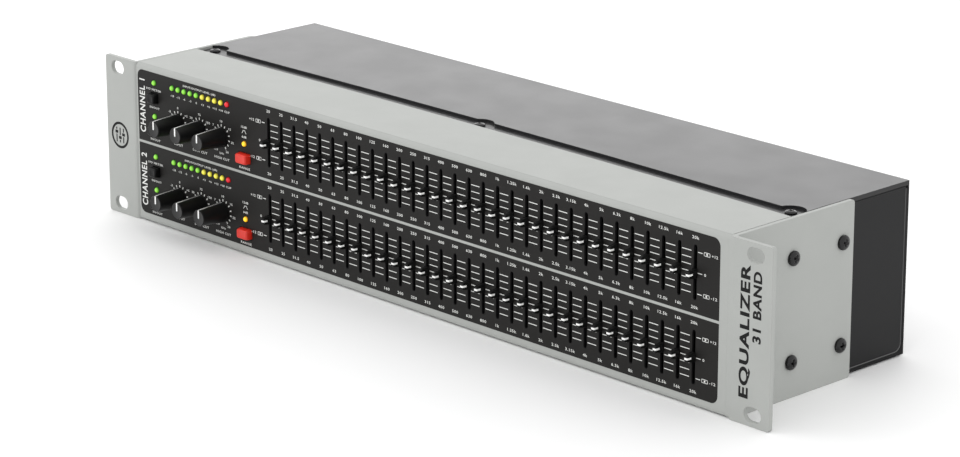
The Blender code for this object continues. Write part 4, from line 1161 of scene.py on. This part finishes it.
def round_edges(node, radius):
    """Small round edges on a sheet-metal node."""
    weld = node.modifiers.new("weld", "WELD")
    weld.merge_threshold = 1e-6
    flatten = node.modifiers.new("flatten", "DECIMATE")
    flatten.decimate_type = "DISSOLVE"
    flatten.angle_limit = math.radians(0.5)
    bevel = node.modifiers.new("edges", "BEVEL")
    bevel.width = radius * MM
    bevel.segments = 2
    bevel.limit_method = "ANGLE"
    bevel.angle_limit = math.radians(30)
    bevel.miter_outer = "MITER_ARC"
    bevel.harden_normals = True


def paint_shade_in_panel_openings():
    """Painted shade: the panel is tinted dark under the black print, so the walls of its openings and the
    bare strips round the slots, lamps and buttons read as shaded holes; the divider stays silver.
    """
    panel = FINISHES["panel_paint"]
    tree = panel.node_tree
    inset = PRINT_CORNER / 3
    across = within(
        tree, 0, BODY_LEFT + PRINT_MARGIN_LEFT + inset, BODY_RIGHT - PRINT_MARGIN_RIGHT - inset
    )
    for channel in CHANNELS:
        low, high = zone_heights(channel)
        tint_where(panel, both(tree, across, within(tree, 2, low + inset, high - inset)), SHADE_AND_BODY_DARK)


def shade_panel_bend():
    """Painted shade: a faint darker line where the panel's top flange starts behind the bend."""
    panel = FINISHES["panel_paint"]
    top = node_box("front_panel")[1].z
    tree = panel.node_tree
    behind = within(tree, 1, FACE + BEND_SHADE_DEPTHS[0], FACE + BEND_SHADE_DEPTHS[1])
    on_top = within(tree, 2, top - 1, top + 1)
    tint_where(panel, both(tree, behind, on_top), shaded(SILVER, 0.86))


def darken_potentiometers():
    """Dark bodies on the green fader board."""
    board = node_box("fader_board")
    pots = FINISHES["pot_board"]
    tint_where(pots, within(pots.node_tree, 1, board[0].y - 1, board[1].y - BOARD), SHADE_AND_BODY_DARK)


def darken_cover_sides():
    """The cover's narrow side faces are out of the light."""
    cover = FINISHES["black_paint"]
    low, high = node_box("top_cover")
    for edge in (low.x, high.x):
        tint_where(cover, within(cover.node_tree, 0, edge - 0.45, edge + 0.45), SHADE_AND_BODY_DARK)


def darken_connectors():
    """Dark inside of the sockets, below the rear panel's face."""
    nickel = FINISHES["nickel"]
    deepest = node_box("balanced_connectors_1")[0].y
    tint_where(nickel, within(nickel.node_tree, 1, deepest, FLANGE_FRONT + 0.5), SHADE_AND_BODY_DARK)


def dress_nodes():
    paint_shade_in_panel_openings()
    shade_panel_bend()
    darken_potentiometers()
    darken_connectors()
    darken_cover_sides()
    for name, finish in NODE_FINISHES.items():
        node = frame["nodes"][name]
        node.data.materials.clear()
        node.data.materials.append(FINISHES[finish])
    for name, radius in EDGE_RADII.items():
        round_edges(frame["nodes"][name], radius)


# ---- Floor, light and camera ----
FLOOR_REACH = 6000.0
CAMERA_TARGET = Vector((0.052, -0.057, 0.05475))
CAMERA_AZIMUTH = 46.25
CAMERA_ELEVATION = 17.28
CAMERA_DISTANCE = 1.6984
CAMERA_LENS = 130.98

WORLD_STRENGTH = 1.15
SOFTBOXES = (  # name, place, target, size in metres, watts
    ("key", (-1.7, -1.6, 1.7), (0, 0, 0), (1.4, 1.4), 11.0),
    ("back", (-1.4, 1.4, 0.55), (0, 0, 0.05), (2.6, 0.9), 9.0),
)


def make_floor():
    """Wide pale floor."""
    shape = bmesh.new()
    bmesh.ops.create_grid(shape, x_segments=8, y_segments=8, size=FLOOR_REACH)
    mesh = to_mesh(shape, "floor")
    mesh.materials.append(make_finish("floor_paint", (0.95, 0.95, 0.95), 0.6, specular=0.2,
                                      variation=0.01, patch=300.0, relief=0.0))
    floor = bpy.data.objects.new("floor", mesh)
    bpy.context.scene.collection.objects.link(floor)


def aim(thing, target):
    direction = Vector(target) - thing.location
    thing.rotation_euler = direction.to_track_quat("-Z", "Y").to_euler()


def add_softbox(name, place, target, size, power):
    light = bpy.data.lights.new(name, "AREA")
    light.shape = "RECTANGLE"
    light.size, light.size_y = size
    light.energy = power
    softbox = bpy.data.objects.new(name, light)
    bpy.context.scene.collection.objects.link(softbox)
    softbox.location = place
    softbox.visible_camera = False
    aim(softbox, target)


def make_light():
    world = bpy.data.worlds.new("studio")
    bpy.context.scene.world = world
    world.use_nodes = True
    background = world.node_tree.nodes["Background"]
    background.inputs["Color"].default_value = (1.0, 1.0, 1.0, 1.0)
    background.inputs["Strength"].default_value = WORLD_STRENGTH
    for softbox in SOFTBOXES:
        add_softbox(*softbox)


def make_camera():
    camera = bpy.data.objects.new("camera", bpy.data.cameras.new("camera"))
    bpy.context.scene.collection.objects.link(camera)
    camera.data.lens = CAMERA_LENS
    camera.data.sensor_width = 36.0
    azimuth = math.radians(CAMERA_AZIMUTH)
    elevation = math.radians(CAMERA_ELEVATION)
    offset = Vector((
        math.cos(elevation) * math.sin(azimuth), -math.cos(elevation) * math.cos(azimuth),
        math.sin(elevation),
    ))
    camera.location = CAMERA_TARGET + CAMERA_DISTANCE * offset
    aim(camera, CAMERA_TARGET)
    bpy.context.scene.camera = camera
    bpy.context.scene.view_settings.view_transform = "Standard"


# ---- Assembly ----
def build():
    for channel in CHANNELS:
        make_printed_zone(channel)
        make_legend(channel)
        for knob in KNOBS:
            make_knob(f"knob_{knob}_{channel}")
        for button in ("meter", "bypass", "range"):
            make_button(f"button_{button}_{channel}")
    make_ear_legend()
    make_emblem()
    make_fader_pairs()
    make_lamps()
    make_screws()
    make_connector_screws()
    make_contacts()
    make_rear_legend()
    make_rocker_marks()
    make_seam_filler()
    make_side_rims()
    dress_nodes()
    make_floor()
    make_light()
    make_camera()


build()
